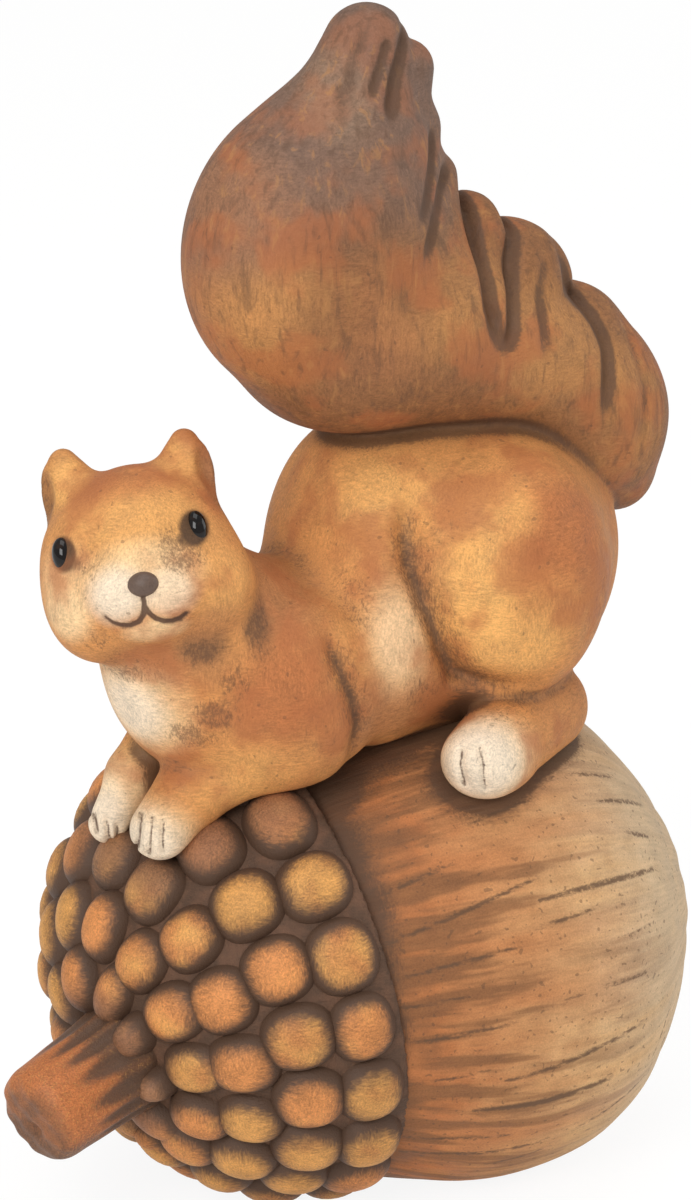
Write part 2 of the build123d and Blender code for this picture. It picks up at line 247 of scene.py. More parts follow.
def modelled(points, parts):
    """Lumps and rolls of clay joined one after another, each with the softness of its joint."""
    form = None
    for softness, kind, *shape in parts:
        part = kind(points, *shape)
        form = part if form is None else joined(form, part, softness)
    return form


def bell(distance, width):
    """1 on a line, falling softly to nothing beside it."""
    return np.exp(-((distance / width) ** 2))


def fading(share, steepness, least):
    """1 along a drawn line, falling to its least at both ends."""
    return np.clip(np.minimum(share, 1 - share) * steepness + least, 0, 1)


def pressed(form, line, depth, width):
    """A form with a line pressed into it that fades out at both ends."""
    distance, share = line
    return form + depth * fading(share, 5, 0.25) * bell(distance, width)


def smooth_step(value, low, high):
    """0 at the first limit and 1 at the second, with a soft bend at both."""
    t = np.clip((value - low) / (high - low), 0, 1)
    return t * t * (3 - 2 * t)


def outward(azimuth, elevation):
    """The direction of an azimuth, counted from the front, and an elevation."""
    level = math.cos(elevation)
    return np.array((math.sin(azimuth) * level, -math.cos(azimuth) * level, math.sin(elevation)))


def facing(azimuth, elevation, tilt=0.0):
    """Across, up and forward of something that faces outward, as columns."""
    forward = outward(azimuth, elevation)
    level = np.array((math.cos(azimuth), math.sin(azimuth), 0))
    across = level * math.cos(tilt) + np.cross(forward, level) * math.sin(tilt)
    return np.stack((across, np.cross(forward, across), forward), 1).astype(np.float32)


VIEW_AXES = facing(*VIEW_ANGLES)
# Head, in its own frame: across, up and forward
HEAD_CENTRE = np.array((-62.3, -12.6, 168.0), np.float32)
HEAD_AXES = facing(math.radians(-32), math.radians(20), math.radians(11))
MOUTH = (
    ((0.2, -10.2), (-0.2, -11.8), (-1.6, -13.2), (-3.8, -13.7), (-5.9, -13.3), (-7.7, -12.4), (-9.2, -10.9)),
    ((0.5, -10.3), (1.1, -11.7), (2.3, -13.1), (4.0, -14.0), (5.8, -14.2), (7.6, -13.8), (9.2, -12.9)),
    ((0.4, -7.4), (0.5, -8.8), (0.4, -10.4)),
)
HEAD_FORWARD = np.array((0, 0, 1), np.float32)
# Across and up of each eye and of the nose
EYES = {"right": (-17.4, 4.9), "left": (14.0, 6.0)}
NOSE = (0.9, -5.0)
# Each form as the softness of its joint, its kind and its own sizes
HEAD_PARTS = (
    (0, lump, (-0.9, 3.0, -1.4), (21.2, 20.6, 21.4)),
    (6, lump, (-13.6, 3.0, 2.0), (9.8, 11.0, 12.0)),
    (7, lump, (-11.2, -7.8, 3.0), (13.3, 13.6, 14.2)),
    (7, lump, (10.8, -6.8, 2.5), (13.2, 13, 14)),
    (7, lump, (0, -7.5, 12.5), (11.5, 9, 10.5)),
    (2.5, lump, (-4.4, -8.2, 16.9), (6.2, 5.2, 6.2)),
    (2.5, lump, (5.6, -8.7, 16.3), (6.4, 5.3, 6.2)),
    (3, lump, (0.6, -13.4, 12), (7.5, 4.6, 7.5)),
)
FACE_DEPTHS = np.linspace(4, 30, 261)


def in_head(p):
    """Points in the head's frame."""
    return (p - HEAD_CENTRE) @ HEAD_AXES


def head_form(q):
    """Skull, cheeks and muzzle in the head's frame."""
    return modelled(q, HEAD_PARTS)


def seated(place):
    """A place on the front of the face, from its across and up."""
    count = len(FACE_DEPTHS)
    column = np.stack((np.full(count, place[0]), np.full(count, place[1]), FACE_DEPTHS), 1)
    return np.array((*place, FACE_DEPTHS[np.argmax(head_form(column) > 0)]), np.float32)


def mouth_line(q):
    """Distance to the drawn mouth, only in front of the face."""
    near = np.min([path_distance(q[..., :2], path)[0] for path in MOUTH], 0)
    return near + np.maximum(10 - q[..., 2], 0)


def ear_form(q, side):
    """One ear in the head's frame, with its cup."""
    q = q + np.array((2.4 if side > 0 else 1.2, -0.6, 0), np.float32)
    form = clay_roll(q, (side * 11.2, 14.5, -3), (side * 15.0, 26.0, -4.2), 7.9, 3.4)
    form = joined(form, lump(q, (side * 15.6, 19.0, -2.0), (6.0, 8.2, 4.2)), 2.0)
    return carved(form, lump(q, (side * 20.9, 19.4, 1.8), (3.5, 7.6, 4.8)), 1.2)


TORSO_PARTS = (
    (0, lump, (25, 1, 152), (42.5, 33.5, 40.5)),
    (10, lump, (6, -1, 148), (27, 32, 38)),
    (12, lump, (-34, -7, 136), (29, 26, 24)),
    (10, lump, (-46, -10, 139), (23, 22, 23)),
    (7, lump, (-7, -15, 139), (18, 20, 24)),
    (7, lump, (2, 3, 158), (19.5, 26, 31)),
    (9, clay_roll, (-40, -8.2, 138), (-58, -12, 160), 22.5, 20),
)


def torso_form(p):
    """Rump, belly, chest and neck."""
    return modelled(p, TORSO_PARTS)


# Lines between the locks of the tail, seen from the side: points along X and up Z, depth and width
TAIL_LOCKS = (
    (((9.8, 286), (4, 275.5), (0.6, 267)), 2.2, 1.8),
    (((-0.3, 288), (-4.7, 281.4), (-8.2, 272)), 0.8, 1.5),
    (((3.6, 285), (0.3, 278.5), (-3.2, 272)), 1.3, 1.3),
    (((-8.8, 275.6), (-11.5, 266)), 0.6, 1.5),
    (((16, 262), (12, 255), (8.5, 248.5), (5.3, 243)), 1.4, 1.8),
    (((21.5, 252), (14, 248), (10.3, 243), (6, 234)), 1.5, 1.8),
    (((26, 247), (25.5, 238), (24.6, 228.3), (23.3, 221), (24.6, 212)), 2.8, 1.9),
    (((36, 240), (37.5, 233), (34.3, 227.5), (30.4, 218.8), (28.8, 213.3), (26.5, 210.5)), 2.2, 1.7),
    (((44, 228), (40, 220.2), (37.6, 206)), 0.9, 1.5),
    (((49.5, 228), (50, 219.2), (53.9, 214.8), (56.4, 210.7), (57.9, 204.8), (56.9, 197), (55.7, 189)),
     2.0, 1.8),
    (((67, 208), (67.4, 197.4), (67.5, 187.7), (65.8, 178.8)), 0.7, 1.5),
    (((-2.8, 240), (-0.8, 229.1), (-0.2, 222)), 0.4, 1.8),
)
TAIL_PARTS = (
    (0, lump, (-10.9, 2, 235.0), (32.3, 27, 37.2), turned(pitch=-16)),
    (12, lump, (4, 2, 211), (24, 24, 18)),
    (12, lump, (17, 2, 212), (23, 26, 24)),
    (8, lump, (-4, 3, 205), (22, 22, 16)),
    (9, clay_roll, (-2, 2, 260), (2.3, 2, 281.0), 16.6, 10.2),
    (12, lump, (38, 2, 203), (22, 24, 19)),
    (9, lump, (58.0, 2, 188.6), (28, 22, 21.5), turned(pitch=-50)),
    (2.5, clay_roll, (8, 2, 262), (12.3, 2, 274.5), 9.5, 7.0),
    (3, clay_roll, (8, 2, 250), (12.5, 2, 260), 12, 8.5),
    (3, clay_roll, (8, 2, 226), (16, 2, 246), 20, 9.8),
    (2.5, clay_roll, (22, 2, 212), (27.8, 2, 230.5), 18, 12.0),
    (2.5, clay_roll, (34, 2, 206), (39, 2, 217.3), 20, 17.0),
    (3, clay_roll, (50, 2, 196), (57.5, 2, 202.5), 15, 13.2),
    (8, clay_roll, (62, 2, 180), (70.5, 2, 166), 15, 9.4),
)


def tail_form(p, lock_depth=0.0):
    """The plume that lies along the back and stands up."""
    form = modelled(p, TAIL_PARTS)
    if lock_depth:
        side_on = p[..., ::2]
        for path, depth, width in TAIL_LOCKS:
            form = pressed(form, path_distance(side_on, path), depth * lock_depth, width)
    return form


def haunch_form(p, side):
    """One haunch, an egg that leans back."""
    return lump(p, (26.6, side * 25.8, 152.5), (23, 19, 29.5), turned(pitch=-8))


def hind_foot_form(p, side):
    """One hind foot: its sole and the lump of its toes."""
    form = clay_roll(p, (38, side * 21, 118), (20, side * 35, 117), 11.5, 10.5)
    return joined(form, lump(p, (13.5, side * 39, 115), (12, 10.5, 9.5), turned(side * -35, -10)), 4)


# Shoulder, forearm and paw of each side
FORELEGS = {
    -1: (
        (0, lump, (-30, -24, 134), (22.5, 15, 23)),
        (6, clay_roll, (-26, -24, 127.5), (-53, -18.5, 112), 10.5, 8),
        (3, clay_roll, (-55.5, -18, 110.5), (-63.4, -20.4, 104.4), 8.2, 7.2),
    ),
    1: (
        (0, lump, (-33, 11.6, 133), (22.5, 15, 23)),
        (6, clay_roll, (-41, 10, 123), (-59.6, 1.5, 110), 9, 6.7),
        (3, clay_roll, (-60, 1, 109.5), (-67.0, 1.0, 98.8), 6.3, 4.8),
    ),
}
# Creases between the toes, as the viewer sees them from the front: across and up in millimetres
TOE_LINES = (
    ((-60.0, -52.0), (-59.4, -55.4)), ((-57.2, -53.0), (-56.6, -57.2)), ((-54.8, -54.2), (-54.6, -58.2)),
    ((-48.8, -51.6), (-49.6, -58.6)), ((-46.4, -52.0), (-46.9, -60.2)), ((-43.6, -53.6), (-43.8, -59.8)),
    ((32.2, -35.4), (33.2, -39.5), (33.4, -44.6)), ((28.0, -36.4), (27.6, -39.6), (28.6, -43.6)),
)
TOE_MIDDLES = ((-70, -3, 100), (-67, -21, 102), (6, -45, 116), (6, 45, 116))
TOE_REACH = 13


def foreleg_form(p, side):
    """One foreleg from its shoulder to its paw."""
    return modelled(p, FORELEGS[side])


def toe_line(p):
    """Distance to the nearest crease between two toes; the far hind foot mirrors the near one."""
    mirrored = p.copy()
    mirrored[..., 1] = np.where(p[..., 1] > 20, -p[..., 1], p[..., 1])
    offset = mirrored - np.array(VIEW_TARGET, np.float32)
    nearer = VIEW_DISTANCE / (VIEW_DISTANCE - offset @ VIEW_AXES[:, 2:])
    seen = (offset @ VIEW_AXES[:, :2]) * nearer
    line = np.min([path_distance(seen, path)[0] for path in TOE_LINES], 0)
    away = np.min([np.sqrt(((p - np.array(middle, np.float32)) ** 2).sum(-1)) for middle in TOE_MIDDLES], 0)
    return line + np.maximum(away - TOE_REACH, 0)


# Creases of the haunch and the shoulder, seen from the side: points along X and up Z, depth and width
BODY_CREASES = (
    (((2, 177), (-0.6, 170), (-1, 162), (1.1, 153), (4.7, 143), (9.3, 135.5), (17, 132.5), (26, 132)),
     3.6, 3.2),
    (((-26, 152), (-24, 144), (-20.5, 135), (-18.5, 128), (-19.5, 116)), 2.8, 2.8),
)
SIDES = {"left": -1, "right": 1}
# Half widths of the pressed lines
MOUTH_WIDTH = 0.75
TOE_WIDTH = 0.95


def squirrel_forms(p, lock_depth=1.0):
    """The distance to each piece of the squirrel on its own."""
    q = in_head(p)
    forms = {"torso": torso_form(p), "head": head_form(q), "tail": tail_form(p, lock_depth)}
    for name, side in SIDES.items():
        forms["ear_" + name] = ear_form(q, -side)
        forms["haunch_" + name] = haunch_form(p, side)
        forms["hind_foot_" + name] = hind_foot_form(p, side)
        forms["foreleg_" + name] = foreleg_form(p, side)
    return forms


def flank_share(p):
    """0 along the middle of the body, 1 on its flanks."""
    return smooth_step(np.abs(p[..., 1] + 3), 10, 22)


def whole_squirrel(p, forms, mouth_depth=0.7):
    """The skin of all pieces smoothed together, with the mouth and the toes pressed in."""
    form = forms["torso"]
    merge = 4 + 9 * np.maximum(smooth_step(p[..., 0], 24, 44), smooth_step(p[..., 2], 160, 178))
    for name in SIDES:
        form = joined(form, forms["haunch_" + name], merge)
        form = joined(form, forms["foreleg_" + name], 4)
    for name in SIDES:
        form = joined(form, forms["hind_foot_" + name], 2.5)
    head = forms["head"]
    for name in SIDES:
        head = joined(head, forms["ear_" + name], 3.5)
    form = joined(form, head, 3.5)
    flank = flank_share(p)
    for path, depth, width in BODY_CREASES:
        form = pressed(form, path_distance(p[..., ::2], path), depth * flank, width)
    form = joined(form, forms["tail"], 2)
    form = form + mouth_depth * bell(mouth_line(in_head(p)), MOUTH_WIDTH)
    return form + bell(toe_line(p), TOE_WIDTH)


# Acorn
AXIS_HEIGHT = 58.5
CAP_CENTRE = np.array((-18.3, 0, AXIS_HEIGHT), np.float32)
RIM_AXIS = np.array((-0.98541, 0, -0.17021), np.float32)
STEM_AXIS = np.array((-0.92722, -0.26238, -0.26724), np.float32)
NUT_OUTLINE = (
    (-40, 0), (-39, 30), (-34, 46), (-26, 53), (-18.3, 56.5), (-0.8, 60.6), (19.8, 62.4), (41.4, 58.3),
    (56, 50.5), (67, 39), (75.5, 27), (80.5, 15), (82.5, 5), (82.8, 0),
)


def smooth_path(path, steps):
    """Points along a curve through the given ones."""
    given = np.array(path, float)
    given = np.vstack((2 * given[0] - given[1], given, 2 * given[-1] - given[-2]))
    places = []
    for a, b, c, d in zip(given[:-3], given[1:-2], given[2:-1], given[3:]):
        for t in np.arange(steps) / steps:
            square = (2 * a - 5 * b + 4 * c - d) * t ** 2
            cube = (3 * b - a - 3 * c + d) * t ** 3
            places.append(0.5 * (2 * b + (c - a) * t + square + cube))
    return np.array(places + [given[-2]])


def outline_distance(u, v, outline):
    """Signed distance in a plane to an outline that runs round the outside of a turned form."""
    best = np.full(u.shape, 1e9, np.float32)
    sign = np.ones_like(best)
    for (u0, v0), (u1, v1) in zip(outline[:-1], outline[1:]):
        du, dv = u1 - u0, v1 - v0
        t = np.clip(((u - u0) * du + (v - v0) * dv) / (du * du + dv * dv), 0, 1)
        ru, rv = u - u0 - t * du, v - v0 - t * dv
        reach = np.hypot(ru, rv)
        sign = np.where(reach < best, np.where(rv * du - ru * dv > 0, 1, -1), sign)
        best = np.minimum(best, reach)
    return best * sign


NUT_CURVE = smooth_path(NUT_OUTLINE, 6)

# Depth, number round the nut and turn of the waves that make its faint flats
NUT_FLATS = ((0.22, 11, 0.6), (0.16, 23, 0.0))


def nut_form(p):
    """The nut, turned about its level axis and sagging to its far end, with faint flats along it."""
    sag = smooth_step(p[..., 0], -5, 62)
    aside = p[..., 1] + 2.6 * sag
    height = p[..., 2] - AXIS_HEIGHT + 2.2 * sag
    around = np.arctan2(height, -aside)
    flats = sum(depth * np.cos(count * around + turn) for depth, count, turn in NUT_FLATS)
    bulge = 2 + 0.32 * smooth_step(-height, 0, 26) * smooth_step(p[..., 0], -18, 10)
    radius = (np.abs(aside) ** bulge + np.abs(height) ** bulge + 1e-6) ** (1 / bulge)
    return outline_distance(p[..., 0], radius, NUT_CURVE) + flats * np.clip(radius / 40, 0, 1)


def dome_form(p, radius=58.0):
    """The ball that the cap is cut from."""
    return np.sqrt(((p - CAP_CENTRE) ** 2).sum(-1)) - radius


def acorn_form(p):
    return np.minimum(nut_form(p), dome_form(p, settings().acorn.dome_radius / MM))


def stem_frame(p):
    """How far out along the stem, from it, and round it."""
    offset = p - CAP_CENTRE - np.array((0, 0, 1.8), np.float32)
    out = offset @ STEM_AXIS
    across = np.cross(STEM_AXIS, (0, 0, 1)).astype(np.float32)
    across /= np.sqrt(across @ across)
    upward = np.cross(across, STEM_AXIS)
    return out, offset @ across, offset @ upward


def stem_ribs(around, share):
    """The angle whose cosine makes the stem's uneven lengthwise ribs."""
    return 14 * around + 1.6 * np.sin(2 * around) + 1.8 * np.sin(3 * around + 1) + 1.6 * share


def pit_distance(side, up):
    """Distance from the middle of the pit in the stem's end."""
    return np.hypot(side + 0.8, up + 1.2)


def stem_form(p):
    """The stub of the stalk, ribbed where it leaves the cap, with a round end and a small pit."""
    sizes = settings().acorn
    root = sizes.dome_radius / MM
    end = root + sizes.stem_length / MM
    out, side, up = stem_frame(p)
    reach = np.hypot(side, up)
    around = np.arctan2(up, side)
    share = np.clip((out - root) / (end - root), 0, 1)
    flare = 1.2 * (1 - smooth_step(share, -0.2, 0.4))
    radius = sizes.stem_radius / MM + flare - 0.5 * smooth_step(share, 0.4, 1)
    ribs = 0.4 * np.cos(stem_ribs(around, share)) * (1 - smooth_step(share, 0.3, 0.8))
    side_wall = reach - radius - ribs
    pit = 1.5 * bell(pit_distance(side, up), 2.0)
    cap = out - (end - 0.006 * reach ** 2) + pit + 0.35 * np.sin(side * 0.8) * np.sin(up * 0.9)
    form = -joined(-side_wall, -cap, 5)
    return np.maximum(form, (root - 7) - out)


def everything(p):
    """The whole figurine's skin."""
    skin = whole_squirrel(p, squirrel_forms(p, 0.0))
    return np.minimum(skin, np.minimum(acorn_form(p), stem_form(p)))


# Meshes from forms
# Points worked out at once, cells along each edge of a block, and how near the skin, in blocks, one is kept
CHUNK = 1 << 16
BLOCK = 8
BLOCK_REACH = 1.25
# Rounds of moving points onto the skin, the least steepness allowed and the longest move in steps
SETTLING_ROUNDS = 2
LEAST_STEEPNESS = 0.2
LONGEST_MOVE = 0.6


def in_chunks(form, points):
    """A form's distances at many points, worked out a chunk at a time."""
    flat = points.reshape(-1, 3)
    parts = [form(flat[start:start + CHUNK]) for start in range(0, len(flat), CHUNK)]
    return np.concatenate(parts).astype(np.float32).reshape(points.shape[:-1])


def slope(form, points, reach):
    """The direction in which a form's distance grows, not made a unit."""
    corners = np.array(((1, -1, -1), (-1, -1, 1), (-1, 1, -1), (1, 1, 1)), np.float32)
    total = sum(corner * in_chunks(form, points + corner * reach)[:, None] for corner in corners)
    return total / (4 * reach)


def near_blocks(form, low, high, step):
    """The corners of the blocks of cells that the form's skin may cross."""
    size = step * BLOCK
    counts = np.maximum(np.ceil((high - low) / size).astype(int), 1)
    blocks = np.stack(np.meshgrid(*[np.arange(count) for count in counts], indexing="ij"), -1).reshape(-1, 3)
    middles = (low + (blocks + 0.5) * size).astype(np.float32)
    return blocks[np.abs(in_chunks(form, middles)) < size * BLOCK_REACH]


def skin(form, low, high, step):
    """Points and four-sided faces of a form's skin, one point to each cell that it crosses."""
    low, high = np.array(low, float), np.array(high, float)
    blocks = near_blocks(form, low, high, step)
    ticks = np.stack(np.meshgrid(*[np.arange(BLOCK + 1)] * 3, indexing="ij"), -1)
    places = (low + (blocks[:, None, None, None] * BLOCK + ticks) * step).astype(np.float32)
    depth = in_chunks(form, places)
    inside = depth < 0
    total = np.zeros((len(blocks), BLOCK, BLOCK, BLOCK, 3), np.float32)
    crossings = np.zeros(total.shape[:-1], np.float32)

    def corner(values, offset):
        a, b, c = offset
        return values[:, a:a + BLOCK, b:b + BLOCK, c:c + BLOCK]

    for axis in range(3):
        others = [other for other in range(3) if other != axis]
        for first in (0, 1):
            for second in (0, 1):
                start = [0, 0, 0]
                start[others[0]], start[others[1]] = first, second
                end = list(start)
                end[axis] = 1
                before, after = corner(depth, start), corner(depth, end)
                crossed = (before < 0) != (after < 0)
                share = np.where(crossed, before / np.where(crossed, before - after, 1), 0)
                crossings += crossed
                for k in range(3):
                    total[..., k] += crossed * (share if k == axis else start[k])
    live = crossings > 0
    block, i, j, k = np.nonzero(live)
    cells = blocks[block] * BLOCK + np.stack((i, j, k), 1)
    spans = blocks.max(0) * BLOCK + BLOCK + 2
    weights = np.array((spans[1] * spans[2], spans[2], 1))
    keys = cells @ weights
    order = np.argsort(keys)
    keys = keys[order]
    points = low + (cells + total[live] / crossings[live][:, None])[order] * step
    faces = []
    for axis in range(3):
        second, third = (axis + 1) % 3, (axis + 2) % 3
        start = corner(inside, (0, 0, 0))
        offset = [0, 0, 0]
        offset[axis] = 1
        end = corner(inside, offset)
        for outward in (True, False):
            block, i, j, k = np.nonzero(start & ~end if outward else ~start & end)
            edge = blocks[block] * BLOCK + np.stack((i, j, k), 1)
            ring = []
            for back_second, back_third in ((0, 0), (1, 0), (1, 1), (0, 1)):
                cell = edge.copy()
                cell[:, second] -= back_second
                cell[:, third] -= back_third
                ring.append(cell @ weights)
            ring = np.stack(ring if outward else ring[::-1], 1)
            faces.append(ring)
    ring = np.concatenate(faces)
    found = np.minimum(np.searchsorted(keys, ring), len(keys) - 1)
    whole = (keys[found] == ring).all(1)
    return points.astype(np.float32), found[whole]


def settled(form, points, step):
    """The points moved onto the form's skin."""
    for _ in range(SETTLING_ROUNDS):
        direction = slope(form, points, step * 0.3)
        steepness = np.maximum((direction * direction).sum(-1), LEAST_STEEPNESS)
        move = in_chunks(form, points) / steepness
        move = np.clip(move, -LONGEST_MOVE * step, LONGEST_MOVE * step)
        points = points - direction * move[:, None]
    return points


def added(name, data):
    """A new object in the scene."""
    made = bpy.data.objects.new(name, data)
    bpy.context.collection.objects.link(made)
    return made


def piece_from(name, form, low, high, step):
    """A closed piece whose skin is where the form's distance is nothing, with its points and normals."""
    points, faces = skin(form, low, high, step)
    points = settled(form, points, step)
    normals = slope(form, points, step * 0.5)
    normals /= np.maximum(np.sqrt((normals ** 2).sum(-1)), 1e-6)[:, None]
    mesh = bpy.data.meshes.new(name)
    mesh.from_pydata((points * MM).tolist(), [], faces.tolist())
    mesh.shade_smooth()
    mesh.update()
    return added(name, mesh), points.astype(np.float32), normals.astype(np.float32)


def stored(piece, name, values):
    """Values kept on a piece's points for its paint: numbers, or colours."""
    if values.ndim == 2:
        kept = piece.data.attributes.new(name, "FLOAT_COLOR", "POINT")
        values = np.concatenate((values, np.ones((len(values), 1))), 1)
        kept.data.foreach_set("color", values.astype(np.float32).ravel())
    else:
        kept = piece.data.attributes.new(name, "FLOAT", "POINT")
        kept.data.foreach_set("value", values.astype(np.float32))


def stored_vectors(mesh, name, vectors):
    """Vectors kept on a mesh's points."""
    kept = mesh.attributes.new(name, "FLOAT_VECTOR", "POINT")
    kept.data.foreach_set("vector", np.array(vectors, np.float32).ravel())


def delivered(piece, *nodes, slot, material=None):
    """Hand a finished piece over: what it stands for, what it rides on and what it is made of."""
    if material:
        piece.data.materials.clear()
        piece.data.materials.append(material)
    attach(piece, "root")
    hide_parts(*nodes)


# Paint on the points
# A place counts as open where this share of the way out is clear
OPEN_SHARE = 0.94


def closeness(points, normals, reaches=(1.3, 4.2)):
    """How far the clay around closes in on each point, which sets the painted shade in creases: 0 in the open, up
    to 1 in a crease.
    """
    closed = 0
    for reach in reaches:
        clear = in_chunks(everything, points + normals * reach) / reach
        closed = closed + np.clip(OPEN_SHARE - clear, 0, 1)
    return closed / len(reaches)


def egg_share(places, centre, radii):
    """How far each place is from the middle of an egg, as a share of the way to its skin."""
    share = (places - np.array(centre, np.float32)) / np.array(radii, np.float32)
    return np.sqrt((share ** 2).sum(-1))


def between(first, second, share):
    """Colours mixed point by point."""
    return first + (second - first) * share[:, None]


def dabbed(colours, places, dabs, chart):
    """Soft dabs of paint laid one over another."""
    for name, centre, radii, strength in dabs:
        weight = strength * smooth_step(egg_share(places, centre, radii), 1.4, 0.5)
        colours = between(colours, np.array(getattr(chart, name)), weight)
    return colours


# Colour, middle, radii and strength
BODY_DABS = (
    ("chestnut", (-36, -20, 158), (14, 18, 14), 0.8),
    ("chestnut", (-64, -24, 149), (18, 18, 6.5), 0.55),
    ("umber", (-57.5, -32, 154), (6, 8, 5.5), 0.6),
    ("umber", (-43, -30, 157), (4, 10, 9), 0.6),
    ("chestnut", (-20, -36, 128), (12, 12, 12), 0.5),
    ("chestnut", (0, -26, 160), (10, 14, 9), 0.45),
    ("amber", (0, -20, 185), (40, 30, 16), 0.6),
    ("gold", (-8, -25, 180), (16, 16, 13), 0.75),
    ("chestnut", (48, -20, 150), (14, 26, 34), 0.45),
    ("gold", (10, -42, 157), (9, 14, 19), 0.95),
    ("gold", (19, -46, 143), (14, 12, 9), 0.7),
    ("rust", (34, -38, 169), (14, 16, 13), 0.75),
    ("gold", (18, -38, 176), (9, 12, 7), 0.6),
    ("rust", (-39, -40, 140), (12, 14, 13), 0.75),
    ("rust", (-58, -28, 122), (12, 12, 8), 0.35),
    ("chestnut", (-4, -34, 129), (18, 12, 10), 0.7),
    ("cream", (-7, -38, 148), (9, 14, 14), 0.55),
    ("white", (-8, -38, 148), (6, 12, 10), 0.15),
    ("cream", (-70, -18, 134), (13, 18, 13), 0.8),
    ("white", (-72, -18, 133), (9, 14, 10), 0.85),
    ("chestnut", (36, -34, 122), (14, 12, 10), 0.35),
    ("gold", (-48, -30, 118), (12, 12, 9), 0.5),
    ("gold", (-61, -4, 116), (8, 9, 8), 0.7),
    ("gold", (13, 42, 156), (11, 14, 20), 0.9),
    ("rust", (34, 38, 169), (14, 16, 13), 0.7),
    ("rust", (-39, 22, 140), (12, 14, 13), 0.6),
)
PAW_DABS = (
    ("cream", (7, -46, 117), (15, 13, 13), 0.9),
    ("white", (7, -48, 118), (11.5, 12, 12), 0.95),
    ("cream", (8, 46, 116), (14, 13, 12), 0.9),
    ("white", (8, 48, 117), (10, 11, 10), 0.95),
    ("cream", (-66, -22, 103), (10, 11, 9), 0.9),
    ("white", (-67, -22, 102), (8, 9, 8), 0.9),
    ("cream", (-68, -3, 106), (11, 11, 13), 0.75),
    ("cream", (-71, -2, 102), (10, 11, 13), 0.9),
    ("white", (-72, -3, 102), (8, 9, 11), 0.9),
)
HEAD_DABS = (
    ("gold", (0, 8, 16), (18, 10, 14), 0.6),
    ("rust", (-1, 20, 8), (13, 6.5, 12), 0.5),
    ("cream", (-17, -2, 12), (8, 9, 10), 0.5),
    ("gold", (18, -7, 12), (8, 9, 10), 0.4),
    ("cream", (-18, -9, 13), (7, 6, 8), 0.8),
    ("cream", (1, -3, 21), (14, 8, 9), 0.75),
    ("white", (-5.5, -6.5, 21), (7.4, 6.4, 8), 0.85),
    ("white", (6.2, -7.8, 21), (6.4, 5.6, 8), 0.5),
    ("chestnut", (3, -23, 6), (20, 6.5, 14), 0.75),
    ("chestnut", (13, -17, 10), (10, 5, 9), 0.45),
    ("cream", (1.5, -15.5, 18), (7, 2.6, 7), 0.8),
    ("rust", (18, 15, 2), (6, 8, 10), 0.5),
    ("umber", (18.5, 18, -2), (3.5, 9, 7), 0.45),
    ("chestnut", (20, 20, -6), (5, 10, 9), 0.85),
    ("umber", (-21.5, 18, 0), (3.4, 8, 5), 0.5),
    ("gold", (11, 21, 2), (6, 8, 5), 0.6),
    ("gold", (-14, 21, 2), (6, 8, 5), 0.8),
)
TAIL_DABS = (
    ("umber", (2, -24, 229), (4.5, 12, 13), 0.55),
    ("umber", (10, -22, 244), (6, 14, 14), 0.4),
    ("umber", (-24, -22, 240), (14, 12, 8), 0.3),
    ("tail_rust", (-36, -4, 225), (18, 24, 26), 0.8),
    ("tail_honey", (-30, -14, 222), (16, 18, 18), 0.8),
    ("tail_honey", (12, -20, 226), (20, 16, 16), 0.65),
    ("tail_honey", (42, -20, 206), (18, 14, 18), 0.6),
    ("tail_honey", (62, -14, 186), (12, 18, 18), 0.6),
    ("tail_rust", (-8, -22, 222), (14, 14, 18), 0.5),
    ("tail_bark", (-4, -16, 200), (34, 20, 8), 0.9),
    ("tail_honey", (-35, -18, 211), (9, 14, 9), 0.7),
    ("tail_bark", (2, -22, 231), (9, 14, 10), 0.6),
    ("tail_bark", (14, -20, 234), (8, 12, 10), 0.5),
    ("tail_bark", (-20, -24, 224), (9, 12, 9), 0.6),
    ("tail_bark", (50, -20, 187), (14, 14, 10), 0.5),
    ("umber", (-20, -24, 211), (14, 10, 6), 0.3),
    ("tail_smoke", (8, -8, 250), (16, 20, 16), 0.6),
    ("tail_smoke", (-14, -8, 262), (30, 26, 22), 0.75),
    ("tail_smoke", (0, 0, 280), (18, 16, 16), 0.95),
    ("tail_smoke", (-38, 0, 248), (16, 26, 16), 0.6),
    ("cream", (-11, -8, 274), (8, 14, 13), 0.08),
    ("chestnut", (-36, -4, 252), (12, 22, 12), 0.35),
)
# Middle, radii and strength of the brushed flecks, first on the body and then on the head
BODY_FLECKS = (
    ((-44, -29, 157), (5, 12, 12), 1.0),
    ((-57.5, -32, 153), (7.5, 9, 6.5), 1.0),
    ((-71, -15, 145.5), (9, 13, 4.5), 1.0),
    ((-50, -33, 144), (5, 9, 6), 0.8),
    ((-54, -31, 136), (7, 9, 5), 1.0),
    ((-59, -28, 130), (7, 9, 4.5), 1.0),
    ((-16, -28, 156), (6, 12, 10), 0.6),
    ((-28, -38, 130), (12, 9, 12), 0.35),
    ((0, -38, 132), (10, 10, 10), 0.6),
    ((4, -30, 172), (12, 10, 8), 0.35),
    ((46, -30, 148), (10, 14, 14), 0.55),
    ((-70, -20, 148), (12, 12, 7), 0.6),
    ((20, -40, 128), (14, 10, 8), 0.5),
)
HEAD_FLECKS = (
    ((10, 1, 18), (7, 8, 8), 1.0),
    ((-11, 2, 17), (4, 6, 7), 0.6),
    ((-12, -15, 12), (6, 4, 8), 0.7),
    ((-8, -21, 5), (9, 4, 8), 0.6),
    ((-22, 20, 0), (4, 8, 6), 0.8),
    ((20, 20, 0), (5, 8, 6), 0.5),
)


def flecked(places, zones):
    """How thickly flecks are brushed on."""
    thick = np.zeros(len(places), np.float32)
    for centre, radii, strength in zones:
        thick = np.maximum(thick, strength * smooth_step(egg_share(places, centre, radii), 1.3, 0.3))
    return thick


